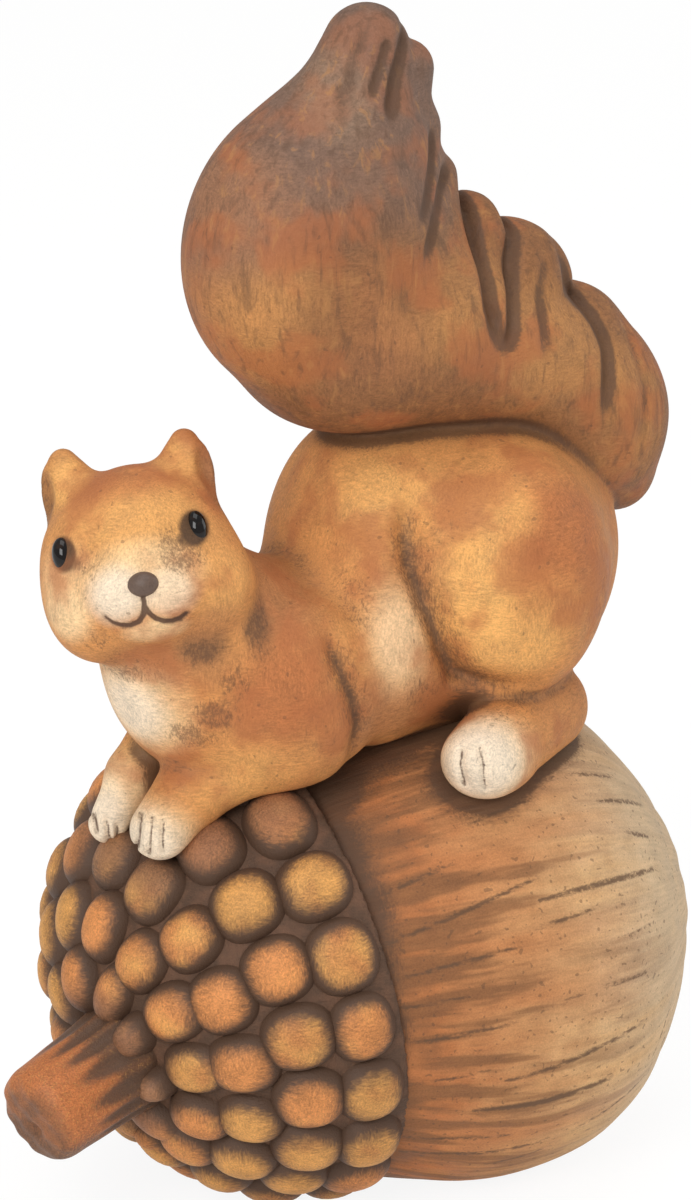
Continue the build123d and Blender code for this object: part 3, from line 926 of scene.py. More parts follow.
def eye_shade(q):
    """The dark soft surround of both eyes, drawn out at the top and the inner corner."""
    shade = np.zeros(len(q), np.float32)
    for eye in EYES.values():
        mirror = math.copysign(1, eye[0])
        across, up = (q[:, 0] - eye[0]) * mirror, q[:, 1] - eye[1]
        drop = np.hypot((across + 0.35) / 3.1, up / 4.1)
        corner = np.hypot((across + 2.4) / 2.0, (up + 2.2) / 2.0)
        shade = np.maximum(shade, smooth_step(drop, 1.22, 0.85))
        shade = np.maximum(shade, 0.8 * smooth_step(corner, 1.3, 0.4))
    return shade * (q[:, 2] > 4)


def coat_colours(points, q, on_head, on_tail):
    """The airbrushed colours of the body, the head and the tail, each with its dabs."""
    coat = settings().coat
    amber = np.tile(np.array(coat.amber), (len(points), 1))
    body = dabbed(dabbed(amber, points, BODY_DABS, coat), points, PAW_DABS, coat)
    head = dabbed(amber, q, HEAD_DABS, coat)
    head = between(head, np.array(coat.umber) * 0.5, eye_shade(q) * 0.93)
    height = smooth_step(points[:, 2], 238, 275)
    tail = between(np.array(coat.tail_bark), np.array(coat.tail_smoke), height)
    tail = dabbed(tail, points, TAIL_DABS, coat)
    return between(between(body, head, on_head), tail, on_tail)


# Width of a lock's dark line and of the wash in and beside a crease, as shares of the pressed width
LOCK_LINE = 0.38
CREASE_WASH = 0.6
CREASE_SIDE = 1.5


def painted_squirrel(piece, points, normals):
    """Coat, creases, flecks and drawn lines of one of the squirrel's pieces, kept on its points."""
    q = in_head(points)
    forms = squirrel_forms(points, 0.0)
    on_head = smooth_step(forms["head"] - forms["torso"], 3, -3)
    ears = np.minimum(forms["ear_left"], forms["ear_right"])
    on_head = np.maximum(on_head, smooth_step(ears, 3, 0) * (points[:, 2] > 172))
    others = np.min([forms[name] for name in forms if name != "tail"], 0)
    on_tail = smooth_step(forms["tail"] - others, 0.6, -0.6)
    colours = coat_colours(points, q, on_head, on_tail)
    stored(piece, "coat", np.clip(colours, 0, 1))
    stored(piece, "warm", smooth_step(colours[:, 2] / colours[:, 0], 0.5, 0.3))
    locks = np.zeros(len(points), np.float32)
    for path, depth, width in TAIL_LOCKS:
        distance, share = path_distance(points[:, ::2], path)
        line = min(depth / 2.0, 1) * fading(share, 4, 0.3) * bell(distance, width * LOCK_LINE)
        locks = np.maximum(locks, line)
    # Dark wash in creases: partly the figurine's brown wash, partly painted shade where the clay closes in; the
    # tail's lock lines join it
    wash_and_shade = np.maximum(closeness(points, normals) * 1.5, locks * on_tail * 0.55)
    flank = flank_share(points) * (1 - on_head) * (1 - on_tail)
    beside = np.zeros(len(points), np.float32)
    for path, depth, width in BODY_CREASES:
        distance, share = path_distance(points[:, ::2], path)
        fade = flank * fading(share, 4, 0.2)
        wash_and_shade = np.maximum(wash_and_shade, 0.6 * fade * bell(distance, width * CREASE_WASH))
        beside = np.maximum(beside, fade * bell(distance, width * CREASE_SIDE))
    stored(piece, "wash_and_shade", np.clip(wash_and_shade, 0, 1))
    flecks = np.maximum(flecked(points, BODY_FLECKS) * (1 - on_head), flecked(q, HEAD_FLECKS) * on_head)
    stored(piece, "flecks", np.maximum(flecks, beside) * (1 - on_tail))
    stored(piece, "streaks", np.clip(on_tail, 0, 1))
    mouth_half = 0.5 - 0.3 * np.clip(np.abs(q[:, 0] - 0.4) / 9.5, 0, 1) ** 2
    stored_line(piece, np.minimum(mouth_line(q) - mouth_half, toe_line(points) - 0.15))


def stored_line(piece, distance):
    """The distance to a drawn line, kept near the line only."""
    stored(piece, "line", np.clip(distance, -1, 4))


# Materials
class Value:
    """A socket of a material that Python sums can use."""

    def __init__(self, finish, socket):
        self.finish = finish
        self.socket = socket

    def _sum(self, operation, *values):
        inputs = dict(enumerate(values))
        return self.finish.node("ShaderNodeMath", {"operation": operation}, inputs)

    def __add__(self, other):
        return self._sum("ADD", self, other)

    def __radd__(self, other):
        return self._sum("ADD", other, self)

    def __sub__(self, other):
        return self._sum("SUBTRACT", self, other)

    def __rsub__(self, other):
        return self._sum("SUBTRACT", other, self)

    def __mul__(self, other):
        return self._sum("MULTIPLY", self, other)

    def __rmul__(self, other):
        return self._sum("MULTIPLY", other, self)


class Finish:
    """A material built node by node round one Principled shader."""

    def __init__(self, name):
        self.material = bpy.data.materials.new(name)
        self.material.use_nodes = True
        self.tree = self.material.node_tree
        self.tree.nodes.clear()

    def node(self, kind, choices=None, inputs=None, output=0):
        """A node: its choices are set first, then its sockets' values or links."""
        made = self.tree.nodes.new(kind)
        for name, choice in (choices or {}).items():
            if name == "stops":
                ramp = made.color_ramp
                for index, (place, colour) in enumerate(choice):
                    stop = ramp.elements[index] if index < 2 else ramp.elements.new(place)
                    stop.position = place
                    stop.color = (*colour, 1)
            else:
                setattr(made, name, choice)
        for name, value in (inputs or {}).items():
            if isinstance(value, Value):
                self.tree.links.new(value.socket, made.inputs[name])
            elif made.inputs[name].type == "RGBA":
                made.inputs[name].default_value = (*value[:3], 1)
            else:
                made.inputs[name].default_value = value
        return Value(self, made.outputs[output])

    def attribute(self, name, output="Fac"):
        return self.node("ShaderNodeAttribute", {"attribute_name": name}, output=output)

    def scaled(self, vector, factors):
        return self.node("ShaderNodeVectorMath", {"operation": "MULTIPLY"}, {0: vector, 1: factors})

    def noise(self, vector, scale, detail=2.0, roughness=0.5, distortion=0.0):
        return self.node("ShaderNodeTexNoise", {"noise_dimensions": "3D"}, {
            "Vector": vector, "Scale": scale, "Detail": detail, "Roughness": roughness, "Distortion": distortion})

    def band(self, value, low, high, bottom=0.0, top=1.0):
        """A smooth step from bottom to top."""
        return self.node("ShaderNodeMapRange", {"interpolation_type": "SMOOTHSTEP"}, {
            "Value": value, "From Min": low, "From Max": high, "To Min": bottom, "To Max": top})

    def mixed(self, first, second, factor, blend="MIX"):
        choices = {"data_type": "RGBA", "blend_type": blend, "clamp_factor": True}
        return self.node("ShaderNodeMix", choices, {0: factor, 6: first, 7: second}, output=2)

    def lit(self, colour, factor):
        """A colour made lighter or darker by a number."""
        return self.node("ShaderNodeVectorMath", {"operation": "SCALE"}, {0: colour, "Scale": factor})

    def millimetres(self):
        place = self.node("ShaderNodeTexCoord", output="Object")
        return self.scaled(place, (1 / MM, 1 / MM, 1 / MM))

    def washed(self, colour, paint, value, low, high, strength):
        """A colour with a paint laid over it as a value passes from low to high."""
        return self.mixed(colour, paint, self.band(value, low, high) * strength)

    def finished(self, colour, roughness, relief=None, depth=0.05, shine=0.5):
        """The Principled shader, with a relief in millimetres, and the output."""
        inputs = {"Base Color": colour, "Roughness": roughness, "Specular IOR Level": shine}
        if relief is not None:
            inputs["Normal"] = self.node("ShaderNodeBump", inputs={"Height": relief, "Distance": depth * MM})
        return self.shown(self.node("ShaderNodeBsdfPrincipled", inputs=inputs))

    def shown(self, shader):
        """The material, with a shader as its surface."""
        out = self.tree.nodes.new("ShaderNodeOutputMaterial")
        self.tree.links.new(shader.socket, out.inputs["Surface"])
        return self.material


def varied(start, *sways):
    """A value swayed by noises that lie around a half, each with its strength."""
    for noise, strength in sways:
        start = start + (noise - 0.5) * strength
    return start


def clay(name):
    """A finish, the place in millimetres, and fine grain, brush strokes and soft clouds around a half."""
    finish = Finish(name)
    place = finish.millimetres()
    grain = finish.noise(place, 2.3, 1.5, 0.6)
    sway = finish.noise(place, 0.09, 1.0)
    rising = finish.noise(finish.scaled(place, (1.9, 1.9, 0.55)), 1.0, 1.0, 0.5, 0.6)
    level = finish.noise(finish.scaled(place, (0.55, 0.7, 1.9)), 1.0, 1.0, 0.5, 0.6)
    strokes = finish.node("ShaderNodeMix", {"data_type": "FLOAT"}, {
        0: finish.band(sway, 0.44, 0.56), 2: rising, 3: level})
    return finish, place, grain, strokes, finish.noise(place, 0.16, 2.0)


def coat_clay(name):
    """Matt painted clay of the squirrel."""
    coat = settings().coat
    finish, place, grain, strokes, clouds = clay(name)
    shade = varied(1.0, (grain, 0.65), (strokes, 0.75), (clouds, 0.5))
    colour = finish.lit(finish.attribute("coat", "Color"), shade)
    warmth = finish.band(finish.noise(place, 0.055, 3.0, 0.6), 0.46, 0.64)
    colour = finish.mixed(colour, coat.rust, warmth * finish.attribute("warm") * 0.6)
    plume = finish.noise(finish.scaled(place, (0.42, 0.42, 0.075)), 1.0, 3.0, 0.6, 0.5)
    streaks = finish.attribute("streaks")
    colour = finish.mixed(colour, coat.umber, finish.band(plume, 0.5, 0.72) * streaks * 0.5)
    colour = finish.mixed(colour, coat.tail_honey, finish.band(plume, 0.44, 0.3) * streaks * 0.35)
    # Umber in creases: partly the figurine's brown wash, partly painted shade where the clay closes in
    wash_and_shade = varied(finish.attribute("wash_and_shade"), (strokes, 0.8), (clouds, 0.4))
    colour = finish.washed(colour, coat.umber, wash_and_shade, 0.2, 0.75, 0.82)
    thin = finish.noise(finish.scaled(place, (0.75, 0.75, 0.42)), 1.0, 4.0, 0.7, 0.7)
    dry = finish.noise(finish.scaled(place, (1.3, 1.3, 0.45)), 1.6, 2.0, 0.6, 0.5)
    thickness = finish.attribute("flecks")
    flecks = finish.band(thin * 0.6 + dry * 0.5 + thickness * 0.2, 0.62, 0.82)
    colour = finish.mixed(colour, coat.umber, flecks * finish.band(thickness, 0.02, 0.5) * 0.6)
    colour = finish.washed(colour, coat.umber, finish.noise(place, 0.7, 0.0), 0.8, 0.84, 0.4)
    colour = finish.washed(colour, coat.ink, varied(finish.attribute("line"), (strokes, 0.3)), 0.3, -0.1, 0.9)
    relief = varied(0.0, (grain, 0.6), (strokes, 1.0))
    return finish.finished(colour, finish.band(clouds, 0.3, 0.7, 0.62, 0.74), relief, 0.12, 0.35)


def nut_clay(name):
    """The nut: streaks that run along it from the dark cap end to the pale tip, and scratched lines."""
    husk = settings().husk
    finish, place, grain, strokes, clouds = clay(name)
    along = finish.attribute("along")
    lengthwise = finish.node("ShaderNodeCombineXYZ", inputs={0: along * 0.0022})
    streak_place = finish.node("ShaderNodeVectorMath", {"operation": "ADD"}, {
        0: finish.attribute("round", "Vector"), 1: lengthwise})
    broad = finish.noise(streak_place, 4.0, 2.0, 0.5)
    fine = finish.noise(streak_place, 14.0, 2.0, 0.5)
    hair = finish.noise(streak_place, 48.0, 2.0, 0.6)
    reach = varied(along, (broad, 50), (fine, 22), (clouds, 20))
    stops = ((0.0, husk.shade), (0.16, husk.russet), (0.38, husk.honey), (0.55, husk.straw), (0.8, husk.khaki))
    share = finish.node("ShaderNodeMapRange", {}, {"Value": reach, "From Min": -26.0, "From Max": 78.0})
    colour = finish.node("ShaderNodeValToRGB", {"stops": stops}, {0: share})
    rust = finish.band(broad, 0.45, 0.65) * finish.band(along, 62.0, 10.0)
    colour = finish.mixed(colour, husk.russet, rust * 0.7)
    near_cap = finish.band(along, 30.0, -22.0)
    dark = finish.band(varied(fine + near_cap * 0.13, (hair, 0.35)), 0.5, 0.68)
    colour = finish.mixed(colour, husk.shade, dark * finish.band(along, 74.0, 0.0, 0.1, 1.0) * 0.8)
    colour = finish.lit(colour, varied(1.0, (grain, 0.6), (hair, 0.5), (clouds, 0.4)))
    # Groove-coloured wash where the squirrel and the cap close in on the nut: partly the figurine's brown wash,
    # partly painted shade
    wash_and_shade = varied(finish.attribute("wash_and_shade"), (strokes, 0.7))
    colour = finish.washed(colour, husk.groove, wash_and_shade, 0.16, 0.8, 0.85)
    rough_edge = finish.noise(finish.scaled(place, (0.7, 1.4, 1.4)), 1.1, 2.0, 0.7)
    line = varied(finish.attribute("line"), (rough_edge, 1.3))
    colour = finish.washed(colour, husk.scratch, line, 0.5, -0.25, 0.85)
    colour = finish.washed(colour, husk.scratch, finish.noise(place, 0.9, 0.0), 0.73, 0.78, 0.5)
    relief = varied(0.0, (grain, 0.6), (hair, 1.5))
    return finish.finished(colour, finish.band(clouds, 0.3, 0.7, 0.62, 0.74), relief, 0.14, 0.35)


def groove_clay(name):
    """The cap between its scales: a dark wash with paler brushed veils."""
    husk = settings().husk
    finish, _, grain, strokes, clouds = clay(name)
    colour = finish.washed(husk.groove, husk.scale_plum, clouds, 0.4, 0.66, 0.35)
    colour = finish.lit(colour, varied(1.0, (grain, 0.5), (strokes, 0.5)))
    return finish.finished(colour, 0.7, varied(0.0, (grain, 0.8), (strokes, 1.0)), 0.15, 0.35)


def scale_clay(name):
    """A scale: golden or orange on its crown, dark at its foot."""
    husk = settings().husk
    finish, place, grain, strokes, clouds = clay(name)
    patches = finish.noise(place, 0.12, 1.0)
    golden = finish.band(varied(finish.attribute("chance"), (patches, 1.2)), 0.25, 0.75)
    colour = finish.mixed(husk.scale_orange, husk.scale_gold, golden)
    # Painted shade on the scales near the legs and the stem
    colour = finish.mixed(colour, husk.scale_plum, finish.attribute("legs_and_stem_shade"))
    top = varied(finish.attribute("crown"), (clouds, 0.3))
    colour = finish.mixed(finish.mixed(colour, husk.scale_plum, 0.55), colour, finish.band(top, 0.4, 0.85))
    colour = finish.lit(colour, varied(1.0, (grain, 1.1), (strokes, 0.6), (patches, 0.9)))
    crown = varied(finish.attribute("crown"), (strokes, 0.25), (clouds, 0.2))
    colour = finish.mixed(husk.groove, colour, finish.band(crown, 0.58, 0.98))
    return finish.finished(colour, 0.62, varied(0.0, (grain, 1.0), (strokes, 0.6)), 0.14, 0.4)


def stem_clay(name):
    """The stem: flame-coloured at its end, darker between its ribs and towards the cap, partly brown wash and
    partly painted shade.
    """
    husk = settings().husk
    finish, place, grain, strokes, clouds = clay(name)
    bright = finish.band(varied(finish.attribute("ember"), (clouds, 0.7), (strokes, 0.6)), 0.1, 0.75)
    colour = finish.mixed(husk.stem_bark, husk.stem_flame, bright)
    colour = finish.washed(colour, husk.scale_gold, finish.noise(place, 1.3, 2.0, 0.6), 0.52, 0.66, 0.35)
    pit = finish.attribute("pit") * finish.band(clouds, 0.7, 0.3, 0.6, 1.0)
    colour = finish.lit(finish.mixed(colour, husk.stem_bark, pit), varied(1.0, (grain, 1.4), (strokes, 0.7)))
    # Groove-coloured wash between the ribs, near the cap and where the clay closes in: partly brown wash, partly
    # painted shade
    wash_and_shade = varied(finish.attribute("wash_and_shade"), (strokes, 0.5))
    colour = finish.washed(colour, husk.groove, wash_and_shade, 0.12, 0.6, 0.9)
    return finish.finished(colour, 0.55, varied(0.0, (grain, 1.0), (strokes, 0.8)), 0.16, 0.45)


def nose_clay(name):
    """Satin dark brown, brushed, with painted shade round its edge."""
    coat = settings().coat
    finish, _, grain, strokes, _ = clay(name)
    colour = finish.lit(tuple(coat.nose), varied(1.0, (grain, 0.7), (strokes, 0.4)))
    # Ink-dark edge of the nose: partly the figurine's wash, partly painted shade where the face closes in
    colour = finish.washed(colour, coat.ink, finish.attribute("wash_and_shade"), 0.1, 0.6, 0.8)
    return finish.finished(colour, 0.5, grain, 0.08)


def eye_glass(name):
    """Polished black glass."""
    finish = Finish(name)
    place = finish.millimetres()
    brown = srgb(40, 26, 18)
    colour = finish.mixed(settings().coat.eye, brown, finish.band(finish.noise(place, 0.5, 1.0), 0.5, 0.8))
    roughness = finish.band(finish.noise(place, 1.2, 1.0), 0.3, 0.7, 0.04, 0.09)
    return finish.finished(colour, roughness, shine=0.35)


# The squirrel's pieces
# How fast a piece sinks beyond its border, how far it reaches past it and how deep it is bedded in the acorn
SINKING = (0.12, 0.05)
BORDER_REACH = 3
BED_DEPTH = 2.5


def piece_form(name):
    """A piece's share of the squirrel's skin: it sinks just under its neighbours beyond its border."""
    sizes = settings().squirrel
    lock_depth = sizes.lock_depth
    mouth_depth = sizes.mouth_depth / MM

    def form(p):
        forms = squirrel_forms(p, lock_depth)
        beyond = forms[name] - np.min([forms[other] for other in forms if other != name], 0)
        over = np.maximum(beyond, 0)
        whole = whole_squirrel(p, forms, mouth_depth) + SINKING[0] * over + SINKING[1] * over * over
        return np.maximum(np.maximum(whole, beyond - BORDER_REACH), -(acorn_form(p) + BED_DEPTH))

    return form


# Lowest and highest corners of each piece with room for its smoothing
PIECE_ROOM = {
    "torso": ((-84, -46, 84), (74, 44, 200)),
    "head": ((-96, -46, 132), (-28, 20, 200)),
    "tail": ((-52, -34, 144), (94, 38, 296)),
    "ear_left": ((-64, -40, 164), (-24, 8, 208)),
    "ear_right": ((-96, -26, 164), (-56, 16, 206)),
    "haunch_left": ((-6, -58, 108), (62, 0, 192)),
    "haunch_right": ((-6, 0, 108), (62, 58, 192)),
    "hind_foot_left": ((-6, -60, 98), (60, 0, 138)),
    "hind_foot_right": ((-6, 0, 98), (60, 60, 138)),
    "foreleg_left": ((-76, -48, 86), (2, 4, 166)),
    "foreleg_right": ((-84, -18, 86), (2, 36, 166)),
    "nut_shell": ((-44, -66, -3), (88, 66, 124)),
    "cap_shell": ((-80, -62, -3), (4, 62, 120)),
}


def squirrel_piece(name, step, slot):
    """One piece of the squirrel, painted and handed over."""
    piece, points, normals = piece_from(name, piece_form(name), *PIECE_ROOM[name], step / MM)
    painted_squirrel(piece, points, normals)
    delivered(piece, name, slot=slot, material=shared(coat_clay, "painted coat"))


def shared(maker, name):
    """A material made once."""
    return bpy.data.materials.get(name) or maker(name)


class SquirrelBody(Operator):
    """Torso, haunches, hind feet and forelegs"""
    bl_idname = "squirrel.body"
    bl_label = "Body and legs"

    def execute(self, context):
        sizes = settings().squirrel
        squirrel_piece("torso", sizes.body_step, "fur_clay")
        for name in SIDES:
            squirrel_piece("haunch_" + name, sizes.body_step, "fur_clay")
            squirrel_piece("foreleg_" + name, sizes.limb_step, "fur_clay")
            squirrel_piece("hind_foot_" + name, sizes.limb_step, "paw_clay")
        return {"FINISHED"}


class SquirrelHead(Operator):
    """Head with its mouth, and both ears"""
    bl_idname = "squirrel.head"
    bl_label = "Head and ears"

    def execute(self, context):
        step = settings().squirrel.head_step
        squirrel_piece("head", step, "fur_clay")
        for name in SIDES:
            squirrel_piece("ear_" + name, step, "fur_clay")
        return {"FINISHED"}


class SquirrelTail(Operator):
    """Tail with its pressed locks"""
    bl_idname = "squirrel.tail"
    bl_label = "Tail"

    def execute(self, context):
        squirrel_piece("tail", settings().squirrel.body_step, "tail_clay")
        return {"FINISHED"}


# Spacing of the mesh on the eyes and the nose, how deep they sit, and the nose's half depth
BEAD_STEP = 0.35
EYE_SINK = 1.7
NOSE_SINK = 0.3
NOSE_HALF_DEPTH = 2.6


def face_bead(name, middle, radii, room):
    """An egg-shaped bead on the face, with its points and normals."""

    def form(p):
        return lump(in_head(p), middle, radii)

    centre = HEAD_CENTRE + HEAD_AXES @ middle
    return piece_from(name, form, centre - room, centre + room, BEAD_STEP)


class SquirrelFace(Operator):
    """Glass eyes and the button of the nose"""
    bl_idname = "squirrel.face"
    bl_label = "Eyes and nose"

    def execute(self, context):
        sizes = settings().squirrel
        glass = shared(eye_glass, "eye glass")
        half_eye = np.array((sizes.eye_width / 2, sizes.eye_height / 2, sizes.eye_width / 2)) / MM
        for name, place in EYES.items():
            eye = face_bead("eye_" + name, seated(place) - HEAD_FORWARD * EYE_SINK, half_eye, 6)[0]
            delivered(eye, "eye_" + name, slot="eye_glass", material=glass)
        button = np.array((sizes.nose_width / 2, sizes.nose_height / 2, NOSE_HALF_DEPTH * MM)) / MM
        nose, points, normals = face_bead("nose", seated(NOSE) - HEAD_FORWARD * NOSE_SINK, button, 7)
        # Painted shade, partly wash, where the face closes in round the nose
        stored(nose, "wash_and_shade", closeness(points, normals, (1.2,)))
        delivered(nose, "nose", slot="nose_clay", material=shared(nose_clay, "nose paint"))
        return {"FINISHED"}


# The acorn's pieces
# Scratched lines: X and turn round the axis in degrees at the start, the same at the end, and width
SCRATCHES = (
    (-21, 21.0, 20, 29.5, 0.9), (18.5, 24.4, 57, 26.3, 1.3), (-17, 12.7, 10.5, 15.3, 0.9),
    (16, 18.6, 34, 20.3, 0.7), (-17, -4.5, 10.7, -1.8, 1.0), (33, 2.2, 48, 2.0, 0.9),
    (22, 1.2, 28, 1.8, 0.6), (1, -23.4, 38, -21.6, 1.6), (8, -16.1, 47, -10.6, 1.1),
    (10, -44.0, 24, -40.0, 0.7), (30, -36.0, 54, -30.0, 0.7), (49, 36.5, 57, 35.2, 0.9),
    (43, 45.0, 60, 45.7, 1.0), (38, 52.5, 52, 52.7, 0.8), (53, -24.0, 60, -15.0, 0.7),
    (-12, -41.0, 24, -36.0, 0.9), (-14, -35.0, 14, -32.0, 0.7), (-18, 33.0, 0, 36.5, 0.8),
    (6, 44.0, 24, 47.0, 0.8), (-16, -16.0, 4, -13.0, 0.6), (40, 12.0, 52, 13.0, 0.6),
    (-19, 5.0, -2, 6.0, 0.7),
)
POUR_HOLE_X = 23


def scratch_line(points):
    """Distance to the nearest scratched line less half its width; the far side has its own set."""
    far = points[:, 1] > 0
    around = np.degrees(np.arctan2(points[:, 2] - AXIS_HEIGHT, np.abs(points[:, 1])))
    around = np.where(far, around * 0.93 - 5, around)
    along = np.where(far, points[:, 0] * 1.08 - 3, points[:, 0])
    radius = np.hypot(points[:, 1], points[:, 2] - AXIS_HEIGHT)
    best = np.full(len(points), 6.0)
    for x0, turn0, x1, turn1, width in SCRATCHES:
        share = np.clip((along - x0) / (x1 - x0), 0, 1)
        off = np.radians(around - turn0 - (turn1 - turn0) * share) * radius
        beyond = along - np.clip(along, x0, x1)
        taper = 0.5 + 0.5 * np.sin(np.pi * share)
        best = np.minimum(best, np.hypot(off, beyond) - width * taper * 0.45)
    return best


def hollowed(form, wall):
    """A form of the acorn cut level, with one hollow shared by the nut and the cap."""

    def shell(p):
        inside = np.maximum(acorn_form(p) + wall, wall - p[..., 2])
        return np.maximum(np.maximum(form(p), -p[..., 2]), -inside)

    return shell


class AcornNut(Operator):
    """Hollow nut with its level foot and its pour hole"""
    bl_idname = "squirrel.nut"
    bl_label = "Nut"

    def execute(self, context):
        sizes = settings().acorn
        wall = sizes.wall / MM
        hole = sizes.pour_hole / 2 / MM

        def solid(p):
            bore = hole - np.hypot(p[..., 0] - POUR_HOLE_X, p[..., 1])
            return np.maximum(nut_form(p), np.where(p[..., 2] < wall * 2, bore, -1e3))

        piece, points, normals = piece_from(
            "nut_shell", hollowed(solid, wall), *PIECE_ROOM["nut_shell"], sizes.nut_step / MM)
        around = np.stack((np.zeros(len(points)), points[:, 1], points[:, 2] - AXIS_HEIGHT), 1)
        around /= np.maximum(np.sqrt((around ** 2).sum(-1)), 6)[:, None]
        stored_vectors(piece.data, "round", around)
        stored(piece, "along", points[:, 0])
        # Painted shade, partly the figurine's brown wash, where the squirrel and the cap close in on the nut
        stored(piece, "wash_and_shade", np.clip(closeness(points, normals, (3.0, 9.0)) * 1.6, 0, 1))
        stored_line(piece, scratch_line(points))
        delivered(piece, "nut_shell", slot="acorn_clay", material=nut_clay("streaked nut"))
        return {"FINISHED"}


class AcornCap(Operator):
    """Hollow dome of the cap"""
    bl_idname = "squirrel.cap"
    bl_label = "Cap"

    def execute(self, context):
        sizes = settings().acorn

        def solid(p):
            return np.maximum(dome_form(p, sizes.dome_radius / MM), -((p - CAP_CENTRE) @ RIM_AXIS))

        piece = piece_from(
            "cap_shell", hollowed(solid, sizes.wall / MM), *PIECE_ROOM["cap_shell"], sizes.nut_step / MM)[0]
        delivered(piece, "cap_shell", slot="cap_clay", material=groove_clay("cap grooves"))
        return {"FINISHED"}


class AcornStem(Operator):
    """Stub of the stalk"""
    bl_idname = "squirrel.stem"
    bl_label = "Stem"

    def execute(self, context):
        sizes = settings().acorn
        root = sizes.dome_radius / MM
        reach = sizes.stem_length / MM
        ends = np.stack((CAP_CENTRE + STEM_AXIS * (root - 8), CAP_CENTRE + STEM_AXIS * (root + reach)))
        piece, points, normals = piece_from("stem", stem_form, ends.min(0) - 17, ends.max(0) + 17, 0.7)
        out, side, up = stem_frame(points)
        share = (out - root) / reach
        around = np.arctan2(up, side)
        ribs = 0.5 - 0.5 * np.cos(stem_ribs(around, share))
        # Darker near the cap, in the valleys between the ribs and where the clay closes in: partly the figurine's
        # wash, partly painted shade
        wash_and_shade = closeness(points, normals) + (0.25 + ribs * 0.6) * (1 - smooth_step(share, 0.3, 0.85))
        stored(piece, "wash_and_shade", np.clip(wash_and_shade, 0, 1))
        pit = smooth_step(pit_distance(side, up), 13, 8)
        stored(piece, "pit", 0.95 * pit * smooth_step(share, 0.86, 0.94))
        stored(piece, "ember", smooth_step(share, 0.1, 0.65) * smooth_step(up - side * 0.3, -9, 7))
        delivered(piece, "stem", slot="stem_clay", material=stem_clay("stem paint"))
        return {"FINISHED"}


# Share of a right angle from the ring's axis, share of the way from the rim's axis to the stem's,
# number round the ring, share of a pitch that the first one is turned by, share of its room filled
SCALE_RINGS = (
    (0.883, 0.05, 20, 0.25, 1.0),
    (0.694, 0.20, 19, 0.625, 1.0),
    (0.511, 0.35, 16, 0.125, 0.98),
    (0.350, 0.50, 13, 0.875, 0.95),
    (0.206, 0.65, 9, 0.5, 0.92),
)
# How deep the scales are seated under the cap's skin, how far they overlap their pitch, and their half depth
SEAT_DEPTH = 3.0
OVERLAP = 1.06
HALF_DEPTH = 9.1
# A scale is left out below this height, this deep in the legs and this near to the stem
LEAST_HEIGHT = 3
DEEPEST_IN_LEGS = -3.5
STEM_CLEARANCE = 0.5
# Points along each edge of the block that a scale is rounded from
SCALE_CUTS = 11
# Small scales squeezed in beside the stem: outward ray, half width, half depth and share of a scale's height
SMALL_SCALES = (
    ((-0.911, -0.405, -0.068), 5.0, 6.8, 1.3),
    ((-0.847, -0.464, -0.261), 4.4, 5.4, 1.3),
    ((-0.762, -0.214, -0.611), 4.6, 5.2, 1.05),
)


def scale_rays(angle_share, axis_share, count, phase, filled):
    """Outward rays of one ring's scales, the ring's axis and half the width that each scale fills."""
    polar = angle_share * math.pi / 2
    axis = RIM_AXIS * (1 - axis_share) + STEM_AXIS * axis_share
    axis = axis / np.sqrt(axis @ axis)
    across = np.cross(axis, (0, 0, 1))
    across /= np.sqrt(across @ across)
    upward = np.cross(across, axis)
    rays = []
    for index in range(count):
        turn = 2 * math.pi * (index + phase) / count
        away = upward * math.cos(turn) + across * math.sin(turn)
        rays.append(axis * math.cos(polar) + away * math.sin(polar))
    radius = settings().acorn.dome_radius / MM
    return rays, axis, math.pi * radius * math.sin(polar) / count * filled


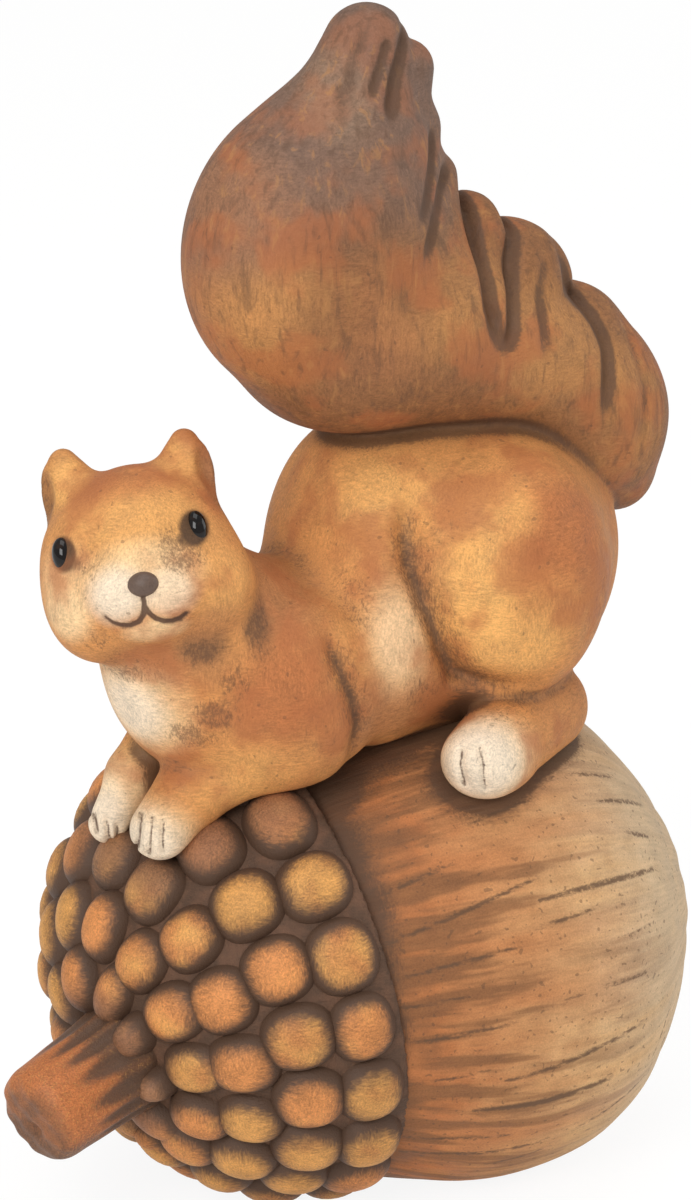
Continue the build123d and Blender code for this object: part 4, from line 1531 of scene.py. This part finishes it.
def scale_tree():
    """Geometry nodes that set one rounded scale on every point and make them plain mesh."""
    tree = bpy.data.node_groups.new("scales of the cap", "GeometryNodeTree")
    face = tree.interface
    face.new_socket("Seats", in_out="INPUT", socket_type="NodeSocketGeometry")
    numbers = (("Height", 0.005), ("Sink", SEAT_DEPTH * MM), ("Squareness", 2.25), ("Unevenness", 0.07))
    for name, value in numbers:
        face.new_socket(name, in_out="INPUT", socket_type="NodeSocketFloat").default_value = value
    face.new_socket("Seed", in_out="INPUT", socket_type="NodeSocketInt").default_value = 7
    face.new_socket("Finish", in_out="INPUT", socket_type="NodeSocketMaterial")
    face.new_socket("Scales", in_out="OUTPUT", socket_type="NodeSocketGeometry")

    def node(kind, choices=None, inputs=None):
        made = tree.nodes.new(kind)
        for name, choice in (choices or {}).items():
            setattr(made, name, choice)
        for name, value in (inputs or {}).items():
            if isinstance(value, bpy.types.NodeSocket):
                tree.links.new(value, made.inputs[name])
            else:
                made.inputs[name].default_value = value
        return made.outputs

    def maths(operation, a, b=0.0):
        return node("ShaderNodeMath", {"operation": operation}, {0: a, 1: b})[0]

    def vectors(operation, *values):
        return node("ShaderNodeVectorMath", {"operation": operation}, dict(enumerate(values)))[0]

    def marked(geometry, name, value, domain):
        return node("GeometryNodeStoreNamedAttribute", {"data_type": "FLOAT", "domain": domain},
                    {"Geometry": geometry, "Name": name, "Value": value})[0]

    def kept(name):
        return node("GeometryNodeInputNamedAttribute", {"data_type": "FLOAT_VECTOR"}, {"Name": name})[0]

    given = node("NodeGroupInput")
    cuts = {f"Vertices {axis}": SCALE_CUTS for axis in "XYZ"}
    cube = node("GeometryNodeMeshCube", inputs={"Size": (2, 2, 2), **cuts})["Mesh"]
    position = node("GeometryNodeInputPosition")[0]
    place = node("ShaderNodeSeparateXYZ", inputs={0: position})
    powered = [maths("POWER", maths("ABSOLUTE", place[k]), given["Squareness"]) for k in range(3)]
    total = maths("ADD", maths("ADD", powered[0], powered[1]), powered[2])
    norm = maths("POWER", total, maths("DIVIDE", 1.0, given["Squareness"]))
    rounded = node("ShaderNodeVectorMath", {"operation": "SCALE"}, {
        0: position, "Scale": maths("DIVIDE", 1.0, norm)})[0]
    pillow = node("GeometryNodeSetPosition", inputs={"Geometry": cube, "Position": rounded})[0]
    pillow = marked(pillow, "crown", place[2], "POINT")
    jitter = node("FunctionNodeRandomValue", {"data_type": "FLOAT_VECTOR"}, {
        "Min": (-1, -1, -1), "Max": (1, 1, 1), "Seed": given["Seed"]})[0]
    uneven = node("ShaderNodeCombineXYZ", inputs=dict.fromkeys(range(3), given["Unevenness"]))[0]
    spread = vectors("MULTIPLY_ADD", jitter, uneven, (1, 1, 1))
    height = maths("ADD", given["Height"], given["Sink"])
    tall = node("ShaderNodeCombineXYZ", inputs={0: 1.0, 1: 1.0, 2: height})[0]
    size = vectors("MULTIPLY", vectors("MULTIPLY", kept("half_size"), tall), spread)
    turn = node("FunctionNodeEulerToRotation", inputs={0: kept("spin")})[0]
    scales = node("GeometryNodeInstanceOnPoints", inputs={
        "Points": given["Seats"], "Instance": pillow, "Rotation": turn, "Scale": size})[0]
    chance = node("FunctionNodeRandomValue", {"data_type": "FLOAT"}, {
        "Seed": maths("ADD", given["Seed"], 3.0)})[1]
    scales = marked(scales, "chance", chance, "INSTANCE")
    scales = node("GeometryNodeRealizeInstances", inputs={0: scales})[0]
    scales = node("GeometryNodeSetShadeSmooth", inputs={0: scales})[0]
    scales = node("GeometryNodeSetMaterial", inputs={"Geometry": scales, "Material": given["Finish"]})[0]
    node("NodeGroupOutput", inputs={"Scales": scales})
    return tree


def grown(seats, tree, values):
    """The plain mesh that the tree makes of the seats."""
    modifier = seats.modifiers.new("growth", "NODES")
    modifier.node_group = tree
    for item in tree.interface.items_tree:
        if item.in_out == "INPUT" and item.name in values:
            modifier[item.identifier] = values[item.name]
    bpy.context.view_layer.update()
    graph = bpy.context.evaluated_depsgraph_get()
    mesh = bpy.data.meshes.new_from_object(
        seats.evaluated_get(graph), preserve_all_data_layers=True, depsgraph=graph)
    seats.modifiers.remove(modifier)
    bpy.data.objects.remove(seats)
    return mesh


def seat(middle, upright, around, half_width, half_depth, rise):
    """One scale's place, turn and half size."""
    turn = Matrix((around, upright.cross(around), upright)).transposed().to_euler()
    return Vector(middle) * MM, tuple(turn), (half_width * MM, half_depth * MM, rise)


def ring_seats(ring):
    """The seats of one ring's scales that the legs and the stem leave room for."""
    reach = settings().acorn.dome_radius / MM - SEAT_DEPTH
    rays, axis, half_width = scale_rays(*ring)
    seats = []
    for ray in rays:
        middle = CAP_CENTRE + ray * reach
        place = middle[None].astype(np.float32)
        legs = whole_squirrel(place, squirrel_forms(place))[0]
        stem = stem_form(place)[0]
        if middle[2] < LEAST_HEIGHT or legs < DEEPEST_IN_LEGS or stem < STEM_CLEARANCE:
            continue
        around = Vector(np.cross(axis, ray)).normalized()
        seats.append(seat(middle, Vector(ray).normalized(), around, half_width * OVERLAP, HALF_DEPTH, 1.0))
    if ring == SCALE_RINGS[-1]:
        for ray, *half_size in SMALL_SCALES:
            upright = Vector(ray).normalized()
            around = Vector(STEM_AXIS).cross(upright).normalized()
            seats.append(seat(CAP_CENTRE + np.array(upright) * reach, upright, around, *half_size))
    return seats


class AcornScales(Operator):
    """Rings of rounded scales round the cap"""
    bl_idname = "squirrel.scales"
    bl_label = "Scales of the cap"

    def execute(self, context):
        sizes = settings().acorn
        tree = scale_tree()
        paint = scale_clay("painted scales")
        for number, ring in enumerate(SCALE_RINGS, 1):
            name = f"scale_ring_{number}"
            places, turns, half_sizes = zip(*ring_seats(ring))
            mesh = bpy.data.meshes.new(f"seats_{number}")
            mesh.from_pydata(list(places), [], [])
            stored_vectors(mesh, "spin", turns)
            stored_vectors(mesh, "half_size", half_sizes)
            scales = grown(added(mesh.name, mesh), tree, {
                "Height": sizes.scale_height, "Sink": SEAT_DEPTH * MM,
                "Seed": sizes.scale_seed + number, "Finish": paint})
            scales.name = name
            piece = added(name, scales)
            finish_scales(piece)
            delivered(piece, name, slot="scale_clay")
        return {"FINISHED"}


def finish_scales(piece):
    """Level the scales with the foot and mark the painted shade on the scales near the paws and the stem."""
    count = len(piece.data.vertices)
    points = np.empty(count * 3, np.float32)
    piece.data.vertices.foreach_get("co", points)
    points = points.reshape(-1, 3)
    points[:, 2] = np.maximum(points[:, 2], 0)
    piece.data.vertices.foreach_set("co", points.ravel())
    places = points / MM
    near_legs = in_chunks(lambda p: whole_squirrel(p, squirrel_forms(p, 0.0)), places)
    near_stem = in_chunks(stem_form, places)
    # Painted shade: scales darken the nearer they are to the legs and the stem
    legs_and_stem_shade = np.maximum(smooth_step(near_legs, 16, 3) * 0.8, smooth_step(near_stem, 11, 2) * 0.9)
    stored(piece, "legs_and_stem_shade", np.clip(legs_and_stem_shade, 0, 1))
    piece.data.update()


# Stage
# Width of the camera's picture in millimetres, how far it sees and half the floor's width in metres,
# then the floor's glow towards the camera and how much of it is mixed in
SENSOR_WIDTH = 36
FARTHEST = 50
FLOOR_HALF = 12.0
FLOOR_GLOW = 1.04
GLOW_SHARE = 0.86
# Name, place, width and power of each lamp
LAMPS = (
    ("front_left", (-1.25, -1.1, 1.15), 0.9, 17.5),
    ("above", (-0.1, -0.1, 1.9), 1.2, 9.6),
    ("right", (1.7, -0.5, 0.7), 1.0, 5.6),
)


class FigurineStage(Operator):
    """Pale floor, soft light and the camera"""
    bl_idname = "squirrel.stage"
    bl_label = "Stage"

    def execute(self, context):
        stage = settings().stage
        target = Vector(stage.target)
        back = Vector(outward(stage.azimuth, stage.elevation))
        data = bpy.data.cameras.new("camera")
        data.sensor_width = SENSOR_WIDTH
        data.lens = data.sensor_width * stage.distance / stage.picture_height
        data.clip_end = FARTHEST
        camera = added("camera", data)
        camera.location = target + back * stage.distance
        camera.rotation_euler = back.to_track_quat("Z", "Y").to_euler()
        context.scene.camera = camera

        mesh = bpy.data.meshes.new("floor")
        corners = [(x * FLOOR_HALF, y * FLOOR_HALF, 0) for x, y in ((-1, -1), (1, -1), (1, 1), (-1, 1))]
        mesh.from_pydata(corners, [], [(0, 1, 2, 3)])
        floor = added("floor", mesh)
        finish = Finish("pale floor")
        seen = finish.node("ShaderNodeLightPath", output="Is Camera Ray")
        for ray in ("Is Glossy Ray", "Is Transmission Ray"):
            seen = seen + finish.node("ShaderNodeLightPath", output=ray)
        matt = finish.node("ShaderNodeBsdfDiffuse", inputs={"Color": tuple(stage.floor)})
        glow = finish.node("ShaderNodeEmission", inputs={"Color": (1.0, 1.0, 1.0), "Strength": FLOOR_GLOW})
        finish.shown(finish.node("ShaderNodeMixShader", inputs={0: seen * GLOW_SHARE, 1: matt, 2: glow}))
        floor.data.materials.append(finish.material)

        world = bpy.data.worlds.new("soft room")
        context.scene.world = world
        world.use_nodes = True
        sky = world.node_tree.nodes["Background"]
        sky.inputs["Color"].default_value = (1, 1, 1, 1)
        sky.inputs["Strength"].default_value = stage.sky_strength
        for name, place, size, power in LAMPS:
            light = bpy.data.lights.new(name, "AREA")
            light.shape = "SQUARE"
            light.size = size
            light.energy = power * stage.lamp_strength
            lamp = added(name, light)
            lamp.location = place
            lamp.rotation_euler = (Vector(place) - target).to_track_quat("Z", "Y").to_euler()
        context.scene.view_settings.view_transform = "Standard"
        return {"FINISHED"}


class FigurinePanel(Panel):
    """The figurine's pieces, sizes and colours in the sidebar."""
    bl_idname = "VIEW3D_PT_squirrel_figurine"
    bl_label = "Squirrel figurine"
    bl_space_type = "VIEW_3D"
    bl_region_type = "UI"
    bl_category = "Squirrel"

    def draw(self, context):
        figurine = settings()
        for operator in PIECE_OPERATORS:
            self.layout.operator(operator.bl_idname, text=operator.bl_label)
        for group in (figurine.squirrel, figurine.acorn, figurine.coat, figurine.husk, figurine.stage):
            box = self.layout.box()
            for name in type(group).__annotations__:
                box.prop(group, name)


PIECE_OPERATORS = (
    FigurineStage, AcornNut, AcornCap, AcornScales, AcornStem,
    SquirrelTail, SquirrelBody, SquirrelHead, SquirrelFace)
CLASSES = (
    SquirrelSizes, AcornSizes, SquirrelColours, AcornColours, StageSettings, FigurineSettings,
    *PIECE_OPERATORS, FigurinePanel)


def register():
    for kind in CLASSES:
        bpy.utils.register_class(kind)
    bpy.types.Scene.squirrel_figurine = PointerProperty(type=FigurineSettings)


def unregister():
    del bpy.types.Scene.squirrel_figurine
    for kind in reversed(CLASSES):
        bpy.utils.unregister_class(kind)


def main():
    register()
    for operator in PIECE_OPERATORS:
        group, name = operator.bl_idname.split(".")
        getattr(getattr(bpy.ops, group), name)()


if __name__ == "__main__":
    main()
